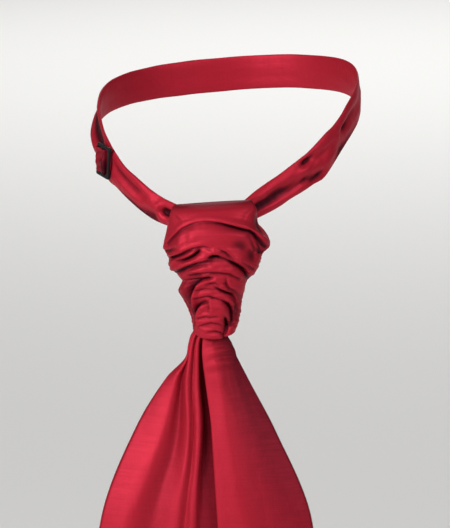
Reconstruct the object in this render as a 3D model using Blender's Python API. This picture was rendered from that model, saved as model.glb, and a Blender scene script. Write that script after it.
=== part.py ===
"""Silk cravat with a ruched knot, worn closed round a stand-up collar.

The frame is +Z up, with the front of the wearer facing -Y and the wearer's left at +X.
The origin is on the neck's axis, level with the middle of the band at the nape.
Angles round the neck and round the knot run from the front, positive towards +X.
"""

import math

import bmesh
import bpy
from mathutils import Matrix, Vector

MM = 0.001

# Neck loop: the line that the middle of the band follows round the collar
NECK_HALF_WIDTH = 67.5 * MM
NECK_HALF_DEPTH = 64.0 * MM
NECKLINE_DROP = 56.0 * MM
NECKLINE_POWER = 2.8
NECKLINE_TILT = math.radians(4.5)
THROAT_PULL = 8.0 * MM
THROAT_REACH = math.radians(20)

# Band: a flat tube of silk, gathered where it goes into the knot
BAND_THICKNESS = 2.0 * MM
BAND_STEP = 5.5 * MM
BAND_ROW = ("angle", "width", "thickness", "groove", "lift")
BAND_STATIONS = [
    dict(zip(BAND_ROW, row))
    for row in (
        (-66, 16.5, 2.0, 0.4, 0.0),
        (-57, 15.5, 2.0, 0.4, -0.5),
        (-48, 14.0, 2.2, 0.9, -0.8),
        (-34, 13.5, 2.4, 0.7, -0.8),
        (-22, 12.5, 3.0, 0.3, -0.4),
        (-12, 11.0, 3.6, 0.0, 0.0),
        (12, 11.0, 3.6, 0.0, 1.4),
        (20, 13.5, 3.0, 0.6, 2.4),
        (34, 15.5, 2.6, 1.1, 2.0),
        (50, 17.0, 2.4, 0.9, 0.8),
        (80, 18.0, 2.0, 0.3, 0.0),
        (180, 18.0, 2.0, 0.0, 0.0),
        (262, 17.5, 2.0, 0.4, 0.0),
        (286, 16.0, 2.0, 0.9, 0.0),
        (294, 16.5, 2.0, 0.4, 0.0),
        (303, 15.5, 2.0, 0.4, -0.5),
    )
]
LONG_STRAP_ENDS = (0.15, 303.38)
SHORT_STRAP_ENDS = (-0.15, -56.38)
SEAM = 0.3 * MM

# Adjuster slide, flat on the outside of the short strap
SLIDE_ANGLE = math.radians(-58)
SLIDE_TURN = math.radians(24)
SLIDE_SHIFT = -1.4 * MM
SLIDE_LENGTH = 13.5 * MM
SLIDE_WIDTH = 16.5 * MM
SLIDE_BAR = 1.6 * MM
SLIDE_THICKNESS = 1.4 * MM
SLIDE_CORNER = 1.6 * MM
SLIDE_LIFT = BAND_THICKNESS / 2 + SEAM + SLIDE_THICKNESS / 2 + 0.6 * MM
LOOP_WIDTH = 12.4 * MM
LOOP_WALL = 1.3 * MM

# Way through the knot that the band takes, in degrees and with its room
PASSAGE_ENDS = (-36.0, 36.0)
PASSAGE_ROOM = 0.45 * MM

# Knot: sections of the ruched sleeve from its folded top down. A section's line falls
# away to each side by its fall, which gives the ruching its arched run.
KNOT_TOP = -45.5 * MM
KNOT_AXIS_TOP = -73.5 * MM
KNOT_AXIS_LEAN = -4.0 * MM
KNOT_LENGTH = 66.0 * MM
KNOT_SQUARENESS = 2.3
KNOT_FALL_POWER = 3.0
KNOT_WALL = 2.0 * MM
KNOT_SEGMENTS = 52
KNOT_RINGS = 60
KNOT_INNER_TOP = 4.6
KNOT_INNER_RINGS = 11
KNOT_INNER_SET_BACK = 1.65
KNOT_ROW = ("drop", "fall_right", "fall_left", "right", "left", "front", "back")
KNOT_SECTIONS = [
    dict(zip(KNOT_ROW, row))
    for row in (
        (0.0, 0.0, 0.0, 19.6, 18.4, 2.2, 2.0),
        (0.9, 0.9, 0.9, 21.0, 19.6, 5.0, 4.6),
        (2.6, 3.6, 3.6, 22.3, 21.7, 8.4, 7.6),
        (6.0, 8.6, 8.6, 24.0, 23.3, 10.8, 9.8),
        (7.5, 10.6, 10.2, 24.7, 24.9, 11.6, 10.3),
        (9.0, 12.0, 11.6, 25.2, 27.7, 12.2, 10.8),
        (12.0, 12.0, 11.8, 24.2, 27.4, 13.2, 11.2),
        (16.0, 10.4, 10.6, 23.6, 24.6, 13.8, 11.4),
        (22.0, 7.6, 8.0, 23.0, 23.2, 14.2, 11.4),
        (28.0, 5.4, 6.0, 20.8, 21.6, 13.8, 11.2),
        (32.0, 4.6, 5.0, 17.6, 19.2, 13.2, 10.8),
        (35.0, 4.4, 4.6, 15.4, 16.6, 12.8, 10.4),
        (39.0, 5.0, 5.0, 16.6, 15.8, 12.4, 9.8),
        (43.0, 6.0, 5.6, 14.6, 15.2, 12.0, 9.4),
        (48.0, 6.0, 6.0, 12.4, 14.2, 11.4, 9.0),
        (54.0, 4.0, 5.0, 11.2, 13.4, 10.8, 8.6),
        (60.0, 0.0, 1.5, 10.8, 12.0, 10.2, 8.2),
        (66.0, -3.5, -2.0, 10.4, 10.6, 9.6, 7.8),
    )
]

# Creases of the ruching on each face, as lines of points: across, drop and depth, all in
# millimetres, across being positive at the right of who looks at that face. A fold
# overhangs its crease from the left-hand side of the line's run: from above, on a line
# that runs to the right. above and below are the reaches of the two sides.
CREASE_ROW = ("face", "above", "below", "line")
CREASES = [
    dict(zip(CREASE_ROW, row))
    for row in (
        (
            "front",
            1.0,
            4.4,
            (
                (-23.0, 19.6, 1.2),
                (-20.2, 15.5, 1.6),
                (-17.2, 12.7, 1.6),
                (-10.3, 8.5, 1.4),
                (-6.4, 7.5, 1.6),
                (3.4, 7.8, 2.0),
                (13.3, 10.6, 2.6),
                (19.7, 14.4, 2.8),
                (24.0, 18.7, 2.6),
                (27.0, 23.0, 1.6),
            ),
        ),
        ("front", 0.9, 2.0, ((-24.5, 23.8, 2.0), (-20.5, 22.3, 1.4), (-16.0, 20.5, 0.2))),
        ("front", 0.9, 2.4, ((17.0, 15.5, 0.6), (20.6, 20.3, 1.6), (25.0, 25.3, 2.2))),
        ("front", 0.9, 2.2, ((-22.0, 26.7, 1.8), (-16.3, 25.0, 2.8), (-11.3, 23.1, 2.8), (-6.4, 21.6, 0.8))),
        ("front", 0.8, 2.0, ((-16.8, 27.4, 0.6), (-13.0, 26.1, 2.2), (-10.0, 24.5, 2.2), (-7.0, 22.6, 0.8))),
        ("front", 0.8, 2.0, ((4.4, 21.9, 0.6), (7.4, 23.4, 1.5), (11.3, 26.1, 1.0))),
        (
            "front",
            1.0,
            3.0,
            (
                (-2.4, 25.2, 1.2),
                (0.5, 23.8, 3.2),
                (4.4, 24.9, 2.8),
                (10.3, 26.3, 2.6),
                (14.3, 28.8, 3.2),
                (17.2, 32.1, 3.4),
                (18.8, 36.1, 2.4),
            ),
        ),
        (
            "front",
            0.9,
            2.6,
            (
                (-21.5, 33.3, 2.0),
                (-16.3, 31.5, 2.6),
                (-11.3, 29.6, 2.4),
                (-6.4, 27.9, 2.0),
                (-1.5, 26.5, 1.6),
                (4.4, 25.6, 0.6),
            ),
        ),
        ("front", 0.8, 1.8, ((-14.4, 33.0, 0.5), (-8.4, 31.0, 1.2), (-3.0, 29.5, 0.5))),
        ("front", 0.9, 2.4, ((-8.9, 33.7, 0.6), (-3.0, 32.7, 1.5), (4.4, 32.3, 1.5), (15.5, 35.8, 1.2))),
        ("front", 0.9, 2.2, ((-17.5, 37.0, 1.6), (-11.3, 35.7, 2.0), (-2.5, 34.5, 0.8))),
        (
            "front",
            1.1,
            3.6,
            (
                (-5.4, 37.6, 0.8),
                (-7.8, 38.2, 2.6),
                (-9.4, 39.4, 3.4),
                (-10.4, 41.2, 3.8),
                (-11.3, 44.6, 3.4),
                (-11.8, 48.0, 2.4),
                (-11.5, 51.6, 1.0),
            ),
        ),
        ("front", 0.8, 1.8, ((-1.2, 38.8, 0.6), (1.0, 38.0, 1.6), (3.2, 39.0, 0.6))),
        ("front", 0.9, 2.2, ((3.4, 40.2, 1.0), (6.4, 41.0, 2.2), (9.4, 42.6, 2.2), (12.3, 48.1, 0.8))),
        ("front", 0.8, 1.8, ((-8.9, 46.4, 0.6), (-3.9, 44.4, 1.5), (3.4, 44.7, 1.3), (6.6, 45.9, 0.5))),
        ("front", 0.9, 2.2, ((-3.4, 47.4, 0.8), (-6.9, 48.5, 2.2), (-8.8, 50.8, 2.6), (-10.0, 58.0, 1.0))),
        ("front", 0.9, 2.2, ((4.9, 47.8, 0.8), (7.4, 48.7, 2.0), (9.4, 50.8, 2.4), (11.2, 57.5, 1.0))),
        ("front", 0.8, 1.8, ((-8.6, 59.0, 0.5), (-3.9, 56.6, 1.2), (2.0, 56.2, 0.5))),
        ("front", 1.1, 1.8, ((6.8, 55.3, 1.0), (7.9, 59.3, 3.0), (7.6, 63.4, 2.4))),
        ("back", 0.9, 3.4, ((-20.0, 19.0, 1.0), (-10.0, 10.8, 2.0), (6.0, 9.8, 2.2), (16.0, 13.0, 2.0), (22.0, 19.0, 0.8))),
        ("back", 0.9, 2.6, ((-16.0, 24.0, 1.0), (-6.0, 19.0, 2.2), (8.0, 18.4, 1.8), (14.0, 20.5, 0.6))),
        ("back", 0.9, 2.6, ((-4.0, 25.6, 0.8), (6.0, 25.0, 2.2), (14.0, 28.0, 2.2), (19.0, 33.0, 1.0))),
        ("back", 0.9, 2.4, ((-16.0, 34.0, 1.2), (-8.0, 31.0, 2.0), (3.0, 30.4, 1.6), (8.0, 31.4, 0.5))),
        ("back", 0.9, 2.4, ((-6.0, 38.0, 0.8), (3.0, 36.8, 1.8), (10.0, 39.0, 1.8), (14.0, 44.0, 0.8))),
        ("back", 0.9, 2.2, ((-12.0, 48.0, 0.8), (-6.0, 44.2, 1.8), (3.0, 43.4, 1.6), (8.0, 44.8, 0.5))),
        ("back", 0.9, 2.2, ((-5.0, 51.4, 0.6), (2.0, 50.2, 1.6), (9.0, 53.4, 1.4), (11.0, 57.0, 0.6))),
        ("back", 0.9, 2.0, ((-8.0, 59.6, 0.6), (-2.0, 57.4, 1.4), (4.0, 57.2, 1.2), (8.0, 59.0, 0.5))),
    )
]
CREASE_ROLL = 0.4
ROLL_LIMIT = 0.4
EDGE_CALM = 0.4

# Soft swells and hollows that no crease makes, as angle and drop, reach in each, height
SWELL_ROW = ("angle", "drop", "angle_reach", "drop_reach", "height")
SWELLS = [
    dict(zip(SWELL_ROW, row))
    for row in (
        (-42, 15.0, 30, 5.0, 0.9),
        (30, 17.5, 34, 6.0, 1.1),
        (-84, 40.0, 20, 4.5, 1.0),
        (66, 54.0, 15, 7.0, 0.6),
        (0, 54.0, 32, 6.0, 0.8),
    )
]

# Tail: the blade below the knot, as lines down the cloth. Each line has its place
# across and its depth at each level, both in millimetres, depth being forward.
TAIL_THICKNESS = 1.6 * MM
TAIL_STEEPEST = 1.9
TAIL_LEVEL_ROW = ("drop", "forward", "sheet")
TAIL_LEVELS = [
    dict(zip(TAIL_LEVEL_ROW, row))
    for row in (
        (22.0, 75.8, 0.0),
        (58.0, 78.0, 0.0),
        (64.5, 78.3, 0.0),
        (67.0, 78.6, 0.25),
        (70.0, 79.2, 0.75),
        (74.0, 80.0, 1.0),
        (88.0, 83.0, 1.0),
        (112.0, 90.0, 1.0),
        (155.0, 101.0, 1.0),
        (215.0, 110.0, 1.0),
        (293.0, 113.0, 1.0),
        (350.0, 113.5, 1.0),
    )
]
TAIL_LINE_DROPS = (67, 76, 88, 112, 155, 215)
TAIL_LINE_ROW = ("name", "x67", "x76", "x88", "x112", "x155", "x215", "f67", "f76", "f88", "f112", "f155", "f215")
TAIL_LINES = [
    dict(zip(TAIL_LINE_ROW, row))
    for row in (
        ("right edge", -11.4, -13.5, -22.3, -38.0, -54.0, -62.0, -1.0, -2.0, -3.0, -3.5, -2.5, -1.0),
        ("outer ridge", -11.0, -12.9, -19.4, -31.0, -46.0, -53.5, 0.5, 0.8, 0.6, 1.5, 1.2, 0.4),
        ("outer valley", -10.6, -12.4, -16.6, -19.0, -30.0, -40.0, 0.0, -0.5, -1.4, -2.0, -1.6, -0.6),
        ("middle ridge", -9.8, -11.4, -12.3, -11.2, -16.0, -24.0, 1.4, 2.6, 3.0, 3.0, 2.0, 0.8),
        ("small valley", -8.4, -9.9, -10.3, -8.6, -12.0, -18.0, 0.4, 0.6, 0.8, 0.6, 0.4, 0.2),
        ("inner ridge", -7.3, -7.7, -7.7, -6.0, -8.0, -11.0, 1.2, 2.0, 2.2, 2.4, 2.0, 0.8),
        ("pleat wall", -6.5, -6.6, -6.2, -4.2, -4.0, -4.5, -1.0, -2.0, -2.6, -2.6, -1.6, -0.8),
        ("pleat floor", -5.7, -5.6, -4.7, -1.2, 0.8, 2.5, -1.8, -4.2, -5.0, -5.2, -3.8, -1.6),
        ("pleat edge", -4.7, -4.1, -2.6, 1.4, 5.0, 9.0, 2.0, 3.4, 3.8, 4.2, 3.6, 1.6),
        ("panel front", -1.4, -0.6, 1.2, 5.6, 13.0, 19.0, 2.6, 4.0, 4.4, 4.4, 3.6, 1.4),
        ("panel side", 3.6, 5.1, 6.8, 14.5, 26.5, 33.5, 1.4, 1.6, 2.0, 1.8, 0.8, 0.0),
        ("left fold", 7.2, 9.3, 12.8, 24.5, 40.5, 47.5, 0.4, -0.6, 0.0, 0.4, 1.0, 0.6),
        ("left edge", 8.3, 10.8, 16.2, 31.5, 51.0, 59.0, -1.0, -2.4, -2.6, -3.0, -2.2, -0.8),
    )
]
TAIL_MOUTH_RISE = 3.0
TAIL_CORE_HALF = (5.4 * MM, 4.6 * MM)
TAIL_CORE_FLARE = 0.6 * MM
TAIL_STRAIGHT_DROP = 215.0
TAIL_SHOULDER_DROP = 293.0
TAIL_TIP_DROP = 350.0
TAIL_COLUMNS = 34

SILK_COLOUR = (0.37, 0.012, 0.035, 1.0)
SLIDE_COLOUR = (0.012, 0.012, 0.014, 1.0)


def clear_scene():
    for obj in list(bpy.data.objects):
        bpy.data.objects.remove(obj)


def make_collection(name, hidden=False):
    collection = bpy.data.collections.new(name)
    bpy.context.scene.collection.children.link(collection)
    collection.hide_render = hidden
    return collection


def make_material(name, colour, roughness, metallic=0.0):
    material = bpy.data.materials.new(name)
    material.use_nodes = True
    shader = material.node_tree.nodes["Principled BSDF"]
    shader.inputs["Base Color"].default_value = colour
    shader.inputs["Roughness"].default_value = roughness
    shader.inputs["Metallic"].default_value = metallic
    return material


def smooth_step(value):
    value = min(1.0, max(0.0, value))
    return value * value * (3 - 2 * value)


def curve_through(keys, values, at):
    """A smooth curve through the points of a table that keeps to each pair's own range."""
    if at <= keys[0]:
        return values[0]
    if at >= keys[-1]:
        return values[-1]
    index = max(i for i, key in enumerate(keys) if key <= at)
    slopes = [(b - a) / (q - p) for p, q, a, b in zip(keys, keys[1:], values, values[1:])]
    tangents = [slopes[0]]
    for before, after in zip(slopes, slopes[1:]):
        same_way = before * after > 0
        tangents.append(2 * before * after / (before + after) if same_way else 0.0)
    tangents.append(slopes[-1])
    span = keys[index + 1] - keys[index]
    t = (at - keys[index]) / span
    return (
        values[index] * (2 * t**3 - 3 * t**2 + 1)
        + tangents[index] * span * (t**3 - 2 * t**2 + t)
        + values[index + 1] * (3 * t**2 - 2 * t**3)
        + tangents[index + 1] * span * (t**3 - t**2)
    )


def from_table(table, key, column, at):
    return curve_through([row[key] for row in table], [row[column] for row in table], at)


def new_object(name, mesh, collection, material):
    obj = bpy.data.objects.new(name, mesh)
    collection.objects.link(obj)
    mesh.materials.append(material)
    return obj


def bridge(bm, lower, upper):
    """A band of faces between two closed loops of as many points."""
    count = len(lower)
    for i in range(count):
        after = (i + 1) % count
        bm.faces.new((lower[i], lower[after], upper[after], upper[i]))


def close_across(bm, loop):
    """Closes a flattened loop with faces from its one side to its other."""
    count = len(loop)
    for i in range(count // 2):
        j = count - 1 - i
        corners = [loop[i], loop[i + 1], loop[j], loop[(j + 1) % count]]
        unique = [v for k, v in enumerate(corners) if v not in corners[:k]]
        if len(unique) > 2:
            bm.faces.new(unique)


def loft_mesh(name, surfaces):
    """A closed mesh from one loft, or from an outer and an inner loft that share a rim.

    Each surface is a list of rings. The first rings are joined to each other as the rim
    where there are two surfaces, and every other end is closed across.
    """
    bm = bmesh.new()
    built = [[[bm.verts.new(p) for p in ring] for ring in rings] for rings in surfaces]
    for rings in built:
        for lower, upper in zip(rings, rings[1:]):
            bridge(bm, lower, upper)
        close_across(bm, rings[-1])
    if len(built) == 2:
        bridge(bm, built[0][0], built[1][0])
    else:
        close_across(bm, built[0][0])
    bmesh.ops.recalc_face_normals(bm, faces=bm.faces)
    mesh = bpy.data.meshes.new(name)
    bm.to_mesh(mesh)
    bm.free()
    mesh.shade_smooth()
    mesh.set_sharp_from_angle(angle=math.radians(50))
    return mesh


# Neck band


def neckline_point(angle):
    """The middle of the band at an angle round the neck."""
    x = NECK_HALF_WIDTH * math.sin(angle)
    nearest = math.remainder(angle, math.tau)
    pull = THROAT_PULL * math.exp(-((nearest / THROAT_REACH) ** 2))
    y = -NECK_HALF_DEPTH * math.cos(angle) - pull
    frontness = (1 + math.cos(angle)) / 2
    z = -NECKLINE_DROP * frontness**NECKLINE_POWER + x * math.tan(NECKLINE_TILT)
    return Vector((x, y, z))


def neckline_frame(angle):
    """Directions along the band, out of its face and up across its width."""
    small = math.radians(0.5)
    along = (neckline_point(angle + small) - neckline_point(angle - small)).normalized()
    outward = Vector((along.y, -along.x, 0)).normalized()
    return along, outward, outward.cross(along).normalized()


def band_section(angle, extra=0.0):
    """A ring round the band's section: its outer face with a soft groove, then its inner face."""
    degrees = math.degrees(angle)
    width = from_table(BAND_STATIONS, "angle", "width", degrees) * MM + 2 * extra
    thickness = from_table(BAND_STATIONS, "angle", "thickness", degrees) * MM + 2 * extra
    groove = from_table(BAND_STATIONS, "angle", "groove", degrees) * MM
    lift = from_table(BAND_STATIONS, "angle", "lift", degrees) * MM
    _, outward, across = neckline_frame(angle)
    middle = neckline_point(angle) + across * lift
    shares = (-1.0, -0.8, -0.4, 0.0, 0.4, 0.8, 1.0)
    outer = []
    inner = []
    for share in shares:
        edge = 0.35 if abs(share) == 1.0 else 1.0
        wander = 0.25 * math.sin(5 * angle)
        dip = groove * math.exp(-(((share - wander) / 0.35) ** 2)) if extra == 0.0 else 0.0
        place = middle + across * (share * width / 2)
        outer.append(place + outward * (edge * thickness / 2 - dip))
        inner.append(place - outward * (edge * thickness / 2))
    return outer + inner[::-1]


def strap_rings(ends, extra=0.0):
    start, end = (math.radians(value) for value in ends)
    length = abs(end - start) * NECK_HALF_DEPTH
    count = max(2, round(length / BAND_STEP))
    return [band_section(start + (end - start) * i / count, extra) for i in range(count + 1)]


def make_strap(name, ends, collection, material):
    return new_object(name, loft_mesh(name, [strap_rings(ends)]), collection, material)


# Adjuster slide and the strap end over its middle bar


def slide_matrix(height):
    """Places a flat piece on the strap: its X along the strap, its Y across, its Z outward."""
    along, outward, across = neckline_frame(SLIDE_ANGLE)
    middle = neckline_point(SLIDE_ANGLE) + outward * height + across * SLIDE_SHIFT
    rotation = Matrix((along, across, outward)).transposed()
    turned = Matrix.Rotation(SLIDE_TURN, 4, "Z")
    return Matrix.Translation(middle) @ rotation.to_4x4() @ turned


def rounded_rectangle(length, width, corner):
    """The points of a rectangle with round corners."""
    steps = 3
    points = []
    for quarter, (sx, sy) in enumerate(((1, 1), (-1, 1), (-1, -1), (1, -1))):
        centre = Vector((sx * (length / 2 - corner), sy * (width / 2 - corner), 0))
        for step in range(steps + 1):
            turn = math.pi / 2 * (quarter + step / steps)
            points.append(centre + corner * Vector((math.cos(turn), math.sin(turn), 0)))
    return points


def make_slide(collection, material):
    curve = bpy.data.curves.new("adjuster_slide", "CURVE")
    curve.dimensions = "2D"
    curve.fill_mode = "BOTH"
    curve.extrude = SLIDE_THICKNESS / 2
    slot_length = (SLIDE_LENGTH - 3 * SLIDE_BAR) / 2
    slot_width = SLIDE_WIDTH - 2 * SLIDE_BAR
    slot_shift = (slot_length + SLIDE_BAR) / 2
    outlines = [(rounded_rectangle(SLIDE_LENGTH, SLIDE_WIDTH, SLIDE_CORNER), 0.0)]
    for side in (-1, 1):
        outline = rounded_rectangle(slot_length, slot_width, SLIDE_CORNER / 2)
        outlines.append((outline, side * slot_shift))
    for points, shift in outlines:
        spline = curve.splines.new("POLY")
        spline.points.add(len(points) - 1)
        spline.use_cyclic_u = True
        for target, point in zip(spline.points, points):
            target.co = (point.x + shift, point.y, 0, 1)
    slide = bpy.data.objects.new("adjuster_slide", curve)
    collection.objects.link(slide)
    curve.materials.append(material)
    slide.matrix_world = slide_matrix(SLIDE_LIFT)
    weld = slide.modifiers.new("weld caps", "WELD")
    weld.merge_threshold = 0.00001
    return slide


def make_loop(collection, material):
    """The strap's turned end: an arch over the rear and middle bars, its feet near the strap."""
    front_inner = SLIDE_BAR / 2 + SEAM
    rear_inner = -SLIDE_LENGTH / 2 - SEAM
    front = front_inner + LOOP_WALL
    rear = rear_inner - LOOP_WALL
    middle = (front + rear) / 2
    foot = -SLIDE_THICKNESS / 2 - 0.5 * MM
    crown = SLIDE_THICKNESS / 2 + SEAM
    shoulder = 0.7 * MM
    arch = [
        (rear, foot),
        (rear, crown + 0.3 * MM),
        (rear + shoulder, crown + LOOP_WALL * 0.85),
        (middle, crown + LOOP_WALL * 1.1),
        (front - shoulder, crown + LOOP_WALL * 0.85),
        (front, crown + 0.3 * MM),
        (front, foot),
        (front_inner, foot),
        (front_inner, crown - 0.2 * MM),
        (front_inner - shoulder / 2, crown),
        (middle, crown),
        (rear_inner + shoulder / 2, crown),
        (rear_inner, crown - 0.2 * MM),
        (rear_inner, foot),
    ]
    rings = []
    for share in (-1.0, -0.9, -0.45, 0.0, 0.45, 0.9, 1.0):
        flat = 0.86 if abs(share) == 1.0 else 1.0
        y = share * LOOP_WIDTH / 2
        ring = []
        for x, z in arch:
            lifted = z > crown + 0.1 * MM
            ring.append(Vector((x, y, crown + (z - crown) * flat if lifted else z)))
        rings.append(ring)
    matrix = slide_matrix(SLIDE_LIFT)
    rings = [[matrix @ point for point in ring] for ring in rings]
    bm = bmesh.new()
    loops = [[bm.verts.new(point) for point in ring] for ring in rings]
    for lower, upper in zip(loops, loops[1:]):
        bridge(bm, lower, upper)
    half = len(arch) // 2
    for loop in (loops[0], loops[-1]):
        for i in range(half - 1):
            bm.faces.new((loop[i], loop[i + 1], loop[-2 - i], loop[-1 - i]))
    bmesh.ops.recalc_face_normals(bm, faces=bm.faces)
    mesh = bpy.data.meshes.new("strap_loop")
    bm.to_mesh(mesh)
    bm.free()
    return new_object("strap_loop", mesh, collection, material)


# Knot sleeve


def signed_power(value, power):
    return math.copysign(abs(value) ** power, value)


def side_blend(angle, right_value, left_value):
    """A value at an angle round the knot that goes from one side's to the other's."""
    share = 0.5 + 0.5 * math.sin(angle)
    return right_value + (left_value - right_value) * smooth_step(share)


def knot_base(drop, angle):
    """The sleeve's plain surface at a drop below its top, and the direction out of it."""
    row = {column: from_table(KNOT_SECTIONS, "drop", column, drop) for column in KNOT_ROW[1:]}
    across = math.sin(angle)
    forward = math.cos(angle)
    half_width = (row["left"] if across > 0 else row["right"]) * MM
    half_depth = (row["front"] if forward > 0 else row["back"]) * MM
    fall = side_blend(angle, row["fall_right"], row["fall_left"]) * MM
    x = half_width * signed_power(across, 2 / KNOT_SQUARENESS)
    axis_y = KNOT_AXIS_TOP + KNOT_AXIS_LEAN * drop * MM / KNOT_LENGTH
    y = axis_y - half_depth * signed_power(forward, 2 / KNOT_SQUARENESS)
    z = KNOT_TOP - drop * MM - fall * abs(across) ** KNOT_FALL_POWER
    tilt = math.tan(NECKLINE_TILT) * (1 - smooth_step(drop / 60))
    outward = Vector((across * half_depth, -forward * half_width, 0)).normalized()
    return Vector((x, y, z + x * tilt)), outward


def crease_offset(line, across, drop):
    """From a place on a face to a crease's nearest point: the way there, its depth, its side."""
    nearest = None
    for (x0, d0, depth0), (x1, d1, depth1) in zip(line, line[1:]):
        run_x = x1 - x0
        run_d = d1 - d0
        share = ((across - x0) * run_x + (drop - d0) * run_d) / (run_x**2 + run_d**2)
        share = min(1.0, max(0.0, share))
        way_x = x0 + share * run_x - across
        way_d = d0 + share * run_d - drop
        distance = math.hypot(way_x, way_d)
        if nearest is None or distance < nearest[0]:
            overhang = run_x * way_d - run_d * way_x > 0
            nearest = (distance, way_x, way_d, depth0 + share * (depth1 - depth0), overhang)
    return nearest


def knot_folds(across, drop, face):
    """The height of the ruching at a place, and how far a fold rolls over the crease by it."""
    height = 0.0
    roll = Vector((0.0, 0.0))
    for crease in CREASES:
        if crease["face"] != face:
            continue
        distance, way_x, way_d, depth, overhang = crease_offset(crease["line"], across, drop)
        if distance > 9:
            continue
        if overhang:
            height -= depth * math.exp(-((distance / crease["above"]) ** 2))
            share = math.exp(-((distance / (2.4 * crease["above"])) ** 2))
            reach = min(depth * share * CREASE_ROLL, distance * ROLL_LIMIT)
            roll += Vector((way_x, way_d)) / max(distance, 0.01) * reach
        else:
            height -= depth * math.exp(-((distance / crease["below"]) ** 1.4))
    return height, roll


def knot_point(drop, angle):
    """A point on the outside of the ruched sleeve."""
    place, outward = knot_base(drop, angle)
    face = "front" if math.cos(angle) > 0 else "back"
    across = place.x / MM if face == "front" else -place.x / MM
    tilt = math.tan(NECKLINE_TILT) * (1 - smooth_step(drop / 60))
    low = (KNOT_TOP - place.z + place.x * tilt) / MM
    height, roll = knot_folds(across, low, face)
    height *= 1 - EDGE_CALM * abs(math.sin(angle)) ** 6
    degrees = math.degrees(math.remainder(angle, math.tau))
    for swell in SWELLS:
        around = (degrees - swell["angle"]) / swell["angle_reach"]
        along = (drop - swell["drop"]) / swell["drop_reach"]
        height += swell["height"] * math.exp(-around * around - along * along)
    calm = smooth_step(drop / 4)
    narrow = min(1.0, from_table(KNOT_SECTIONS, "drop", "front", drop) / 10)
    side = 1 if face == "front" else -1
    seam_calm = smooth_step(abs(math.cos(angle)) / 0.35)
    rolled = Vector((side * roll.x * seam_calm, 0, -roll.y)) * calm * MM
    return place + outward * height * calm * narrow * MM + rolled


def knot_rings():
    """Outer rings from the open lower rim to the folded top, then plain inner rings."""
    angles = [math.tau * i / KNOT_SEGMENTS for i in range(KNOT_SEGMENTS)]
    outer = []
    for index in range(KNOT_RINGS + 1):
        share = 1 - index / KNOT_RINGS
        drop = KNOT_LENGTH / MM * share ** 1.08
        outer.append([knot_point(drop, angle) for angle in angles])
    inner = []
    for index in range(KNOT_INNER_RINGS + 1):
        share = 1 - index / KNOT_INNER_RINGS
        drop = KNOT_INNER_TOP + (KNOT_LENGTH / MM - KNOT_INNER_TOP) * share
        ring = []
        for angle in angles:
            place, outward = knot_base(drop, angle)
            set_back = KNOT_WALL / MM + KNOT_INNER_SET_BACK * smooth_step((66 - drop) / 5)
            ring.append(place - outward * set_back * MM)
        inner.append(ring)
    return [outer, inner]


def rotate_ring(ring, shift):
    return ring[shift:] + ring[:shift]


def cut_with(obj, cutter):
    modifier = obj.modifiers.new("cut by " + cutter.name, "BOOLEAN")
    modifier.operation = "DIFFERENCE"
    modifier.solver = "EXACT"
    modifier.object = cutter


def make_knot(collection, cutters, material):
    """The ruched sleeve, with the way through it that the band takes."""
    quarter = KNOT_SEGMENTS // 4
    surfaces = [[rotate_ring(ring, quarter) for ring in rings] for rings in knot_rings()]
    knot = new_object("knot_sleeve", loft_mesh("knot_sleeve", surfaces), collection, material)
    cutter_mesh = loft_mesh("band_passage", [strap_rings(PASSAGE_ENDS, PASSAGE_ROOM)])
    cutter = new_object("band_passage", cutter_mesh, cutters, material)
    cutter.hide_render = True
    cutter.display_type = "WIRE"
    cut_with(knot, cutter)
    return knot


# Tail


def tail_line_at(line, axis, drop):
    values = [line[f"{axis}{level}"] for level in TAIL_LINE_DROPS]
    return curve_through(TAIL_LINE_DROPS, values, drop)


def tail_middle_line(drop, count):
    """Points across the folded sheet at a level, from the wearer's right edge to the left."""
    xs = [tail_line_at(line, "x", drop) for line in TAIL_LINES]
    depths = [tail_line_at(line, "f", drop) for line in TAIL_LINES]
    forward = from_table(TAIL_LEVELS, "drop", "forward", drop)
    keys = list(range(len(xs)))
    points = []
    for i in range(count):
        at = keys[-1] * i / (count - 1)
        x = curve_through(keys, xs, at)
        depth = curve_through(keys, depths, at) + forward
        points.append(Vector((x * MM, -depth * MM)))
    return points


def sheet_ring(drop):
    """A ring round the folded sheet's section: its front face, then its back face."""
    middle = tail_middle_line(drop, TAIL_COLUMNS)
    front = []
    back = []
    for i, point in enumerate(middle):
        before = middle[max(0, i - 1)]
        after = middle[min(len(middle) - 1, i + 1)]
        slope = (after.y - before.y) / (after.x - before.x)
        edge = 0.45 if i in (0, len(middle) - 1) else 1.0
        reach = min(TAIL_STEEPEST, math.hypot(1, slope)) * TAIL_THICKNESS / 2 * edge
        front.append(point - Vector((0, reach)))
        back.append(point + Vector((0, reach)))
    return front + back[::-1]


def core_ring(drop):
    """A round section of the gathered cloth inside the sleeve, with as many points."""
    half_x, half_y = TAIL_CORE_HALF
    flare = TAIL_CORE_FLARE * smooth_step((62 - drop) / 20)
    forward = from_table(TAIL_LEVELS, "drop", "forward", drop) * MM
    ring = []
    for face in (1, -1):
        for i in range(TAIL_COLUMNS):
            turn = math.pi * (i + 0.5) / TAIL_COLUMNS
            x = -math.cos(turn) * face * (half_x + flare)
            y = -math.sin(turn) * face * (half_y + flare)
            ring.append(Vector((x, y - forward)))
    return ring


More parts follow.
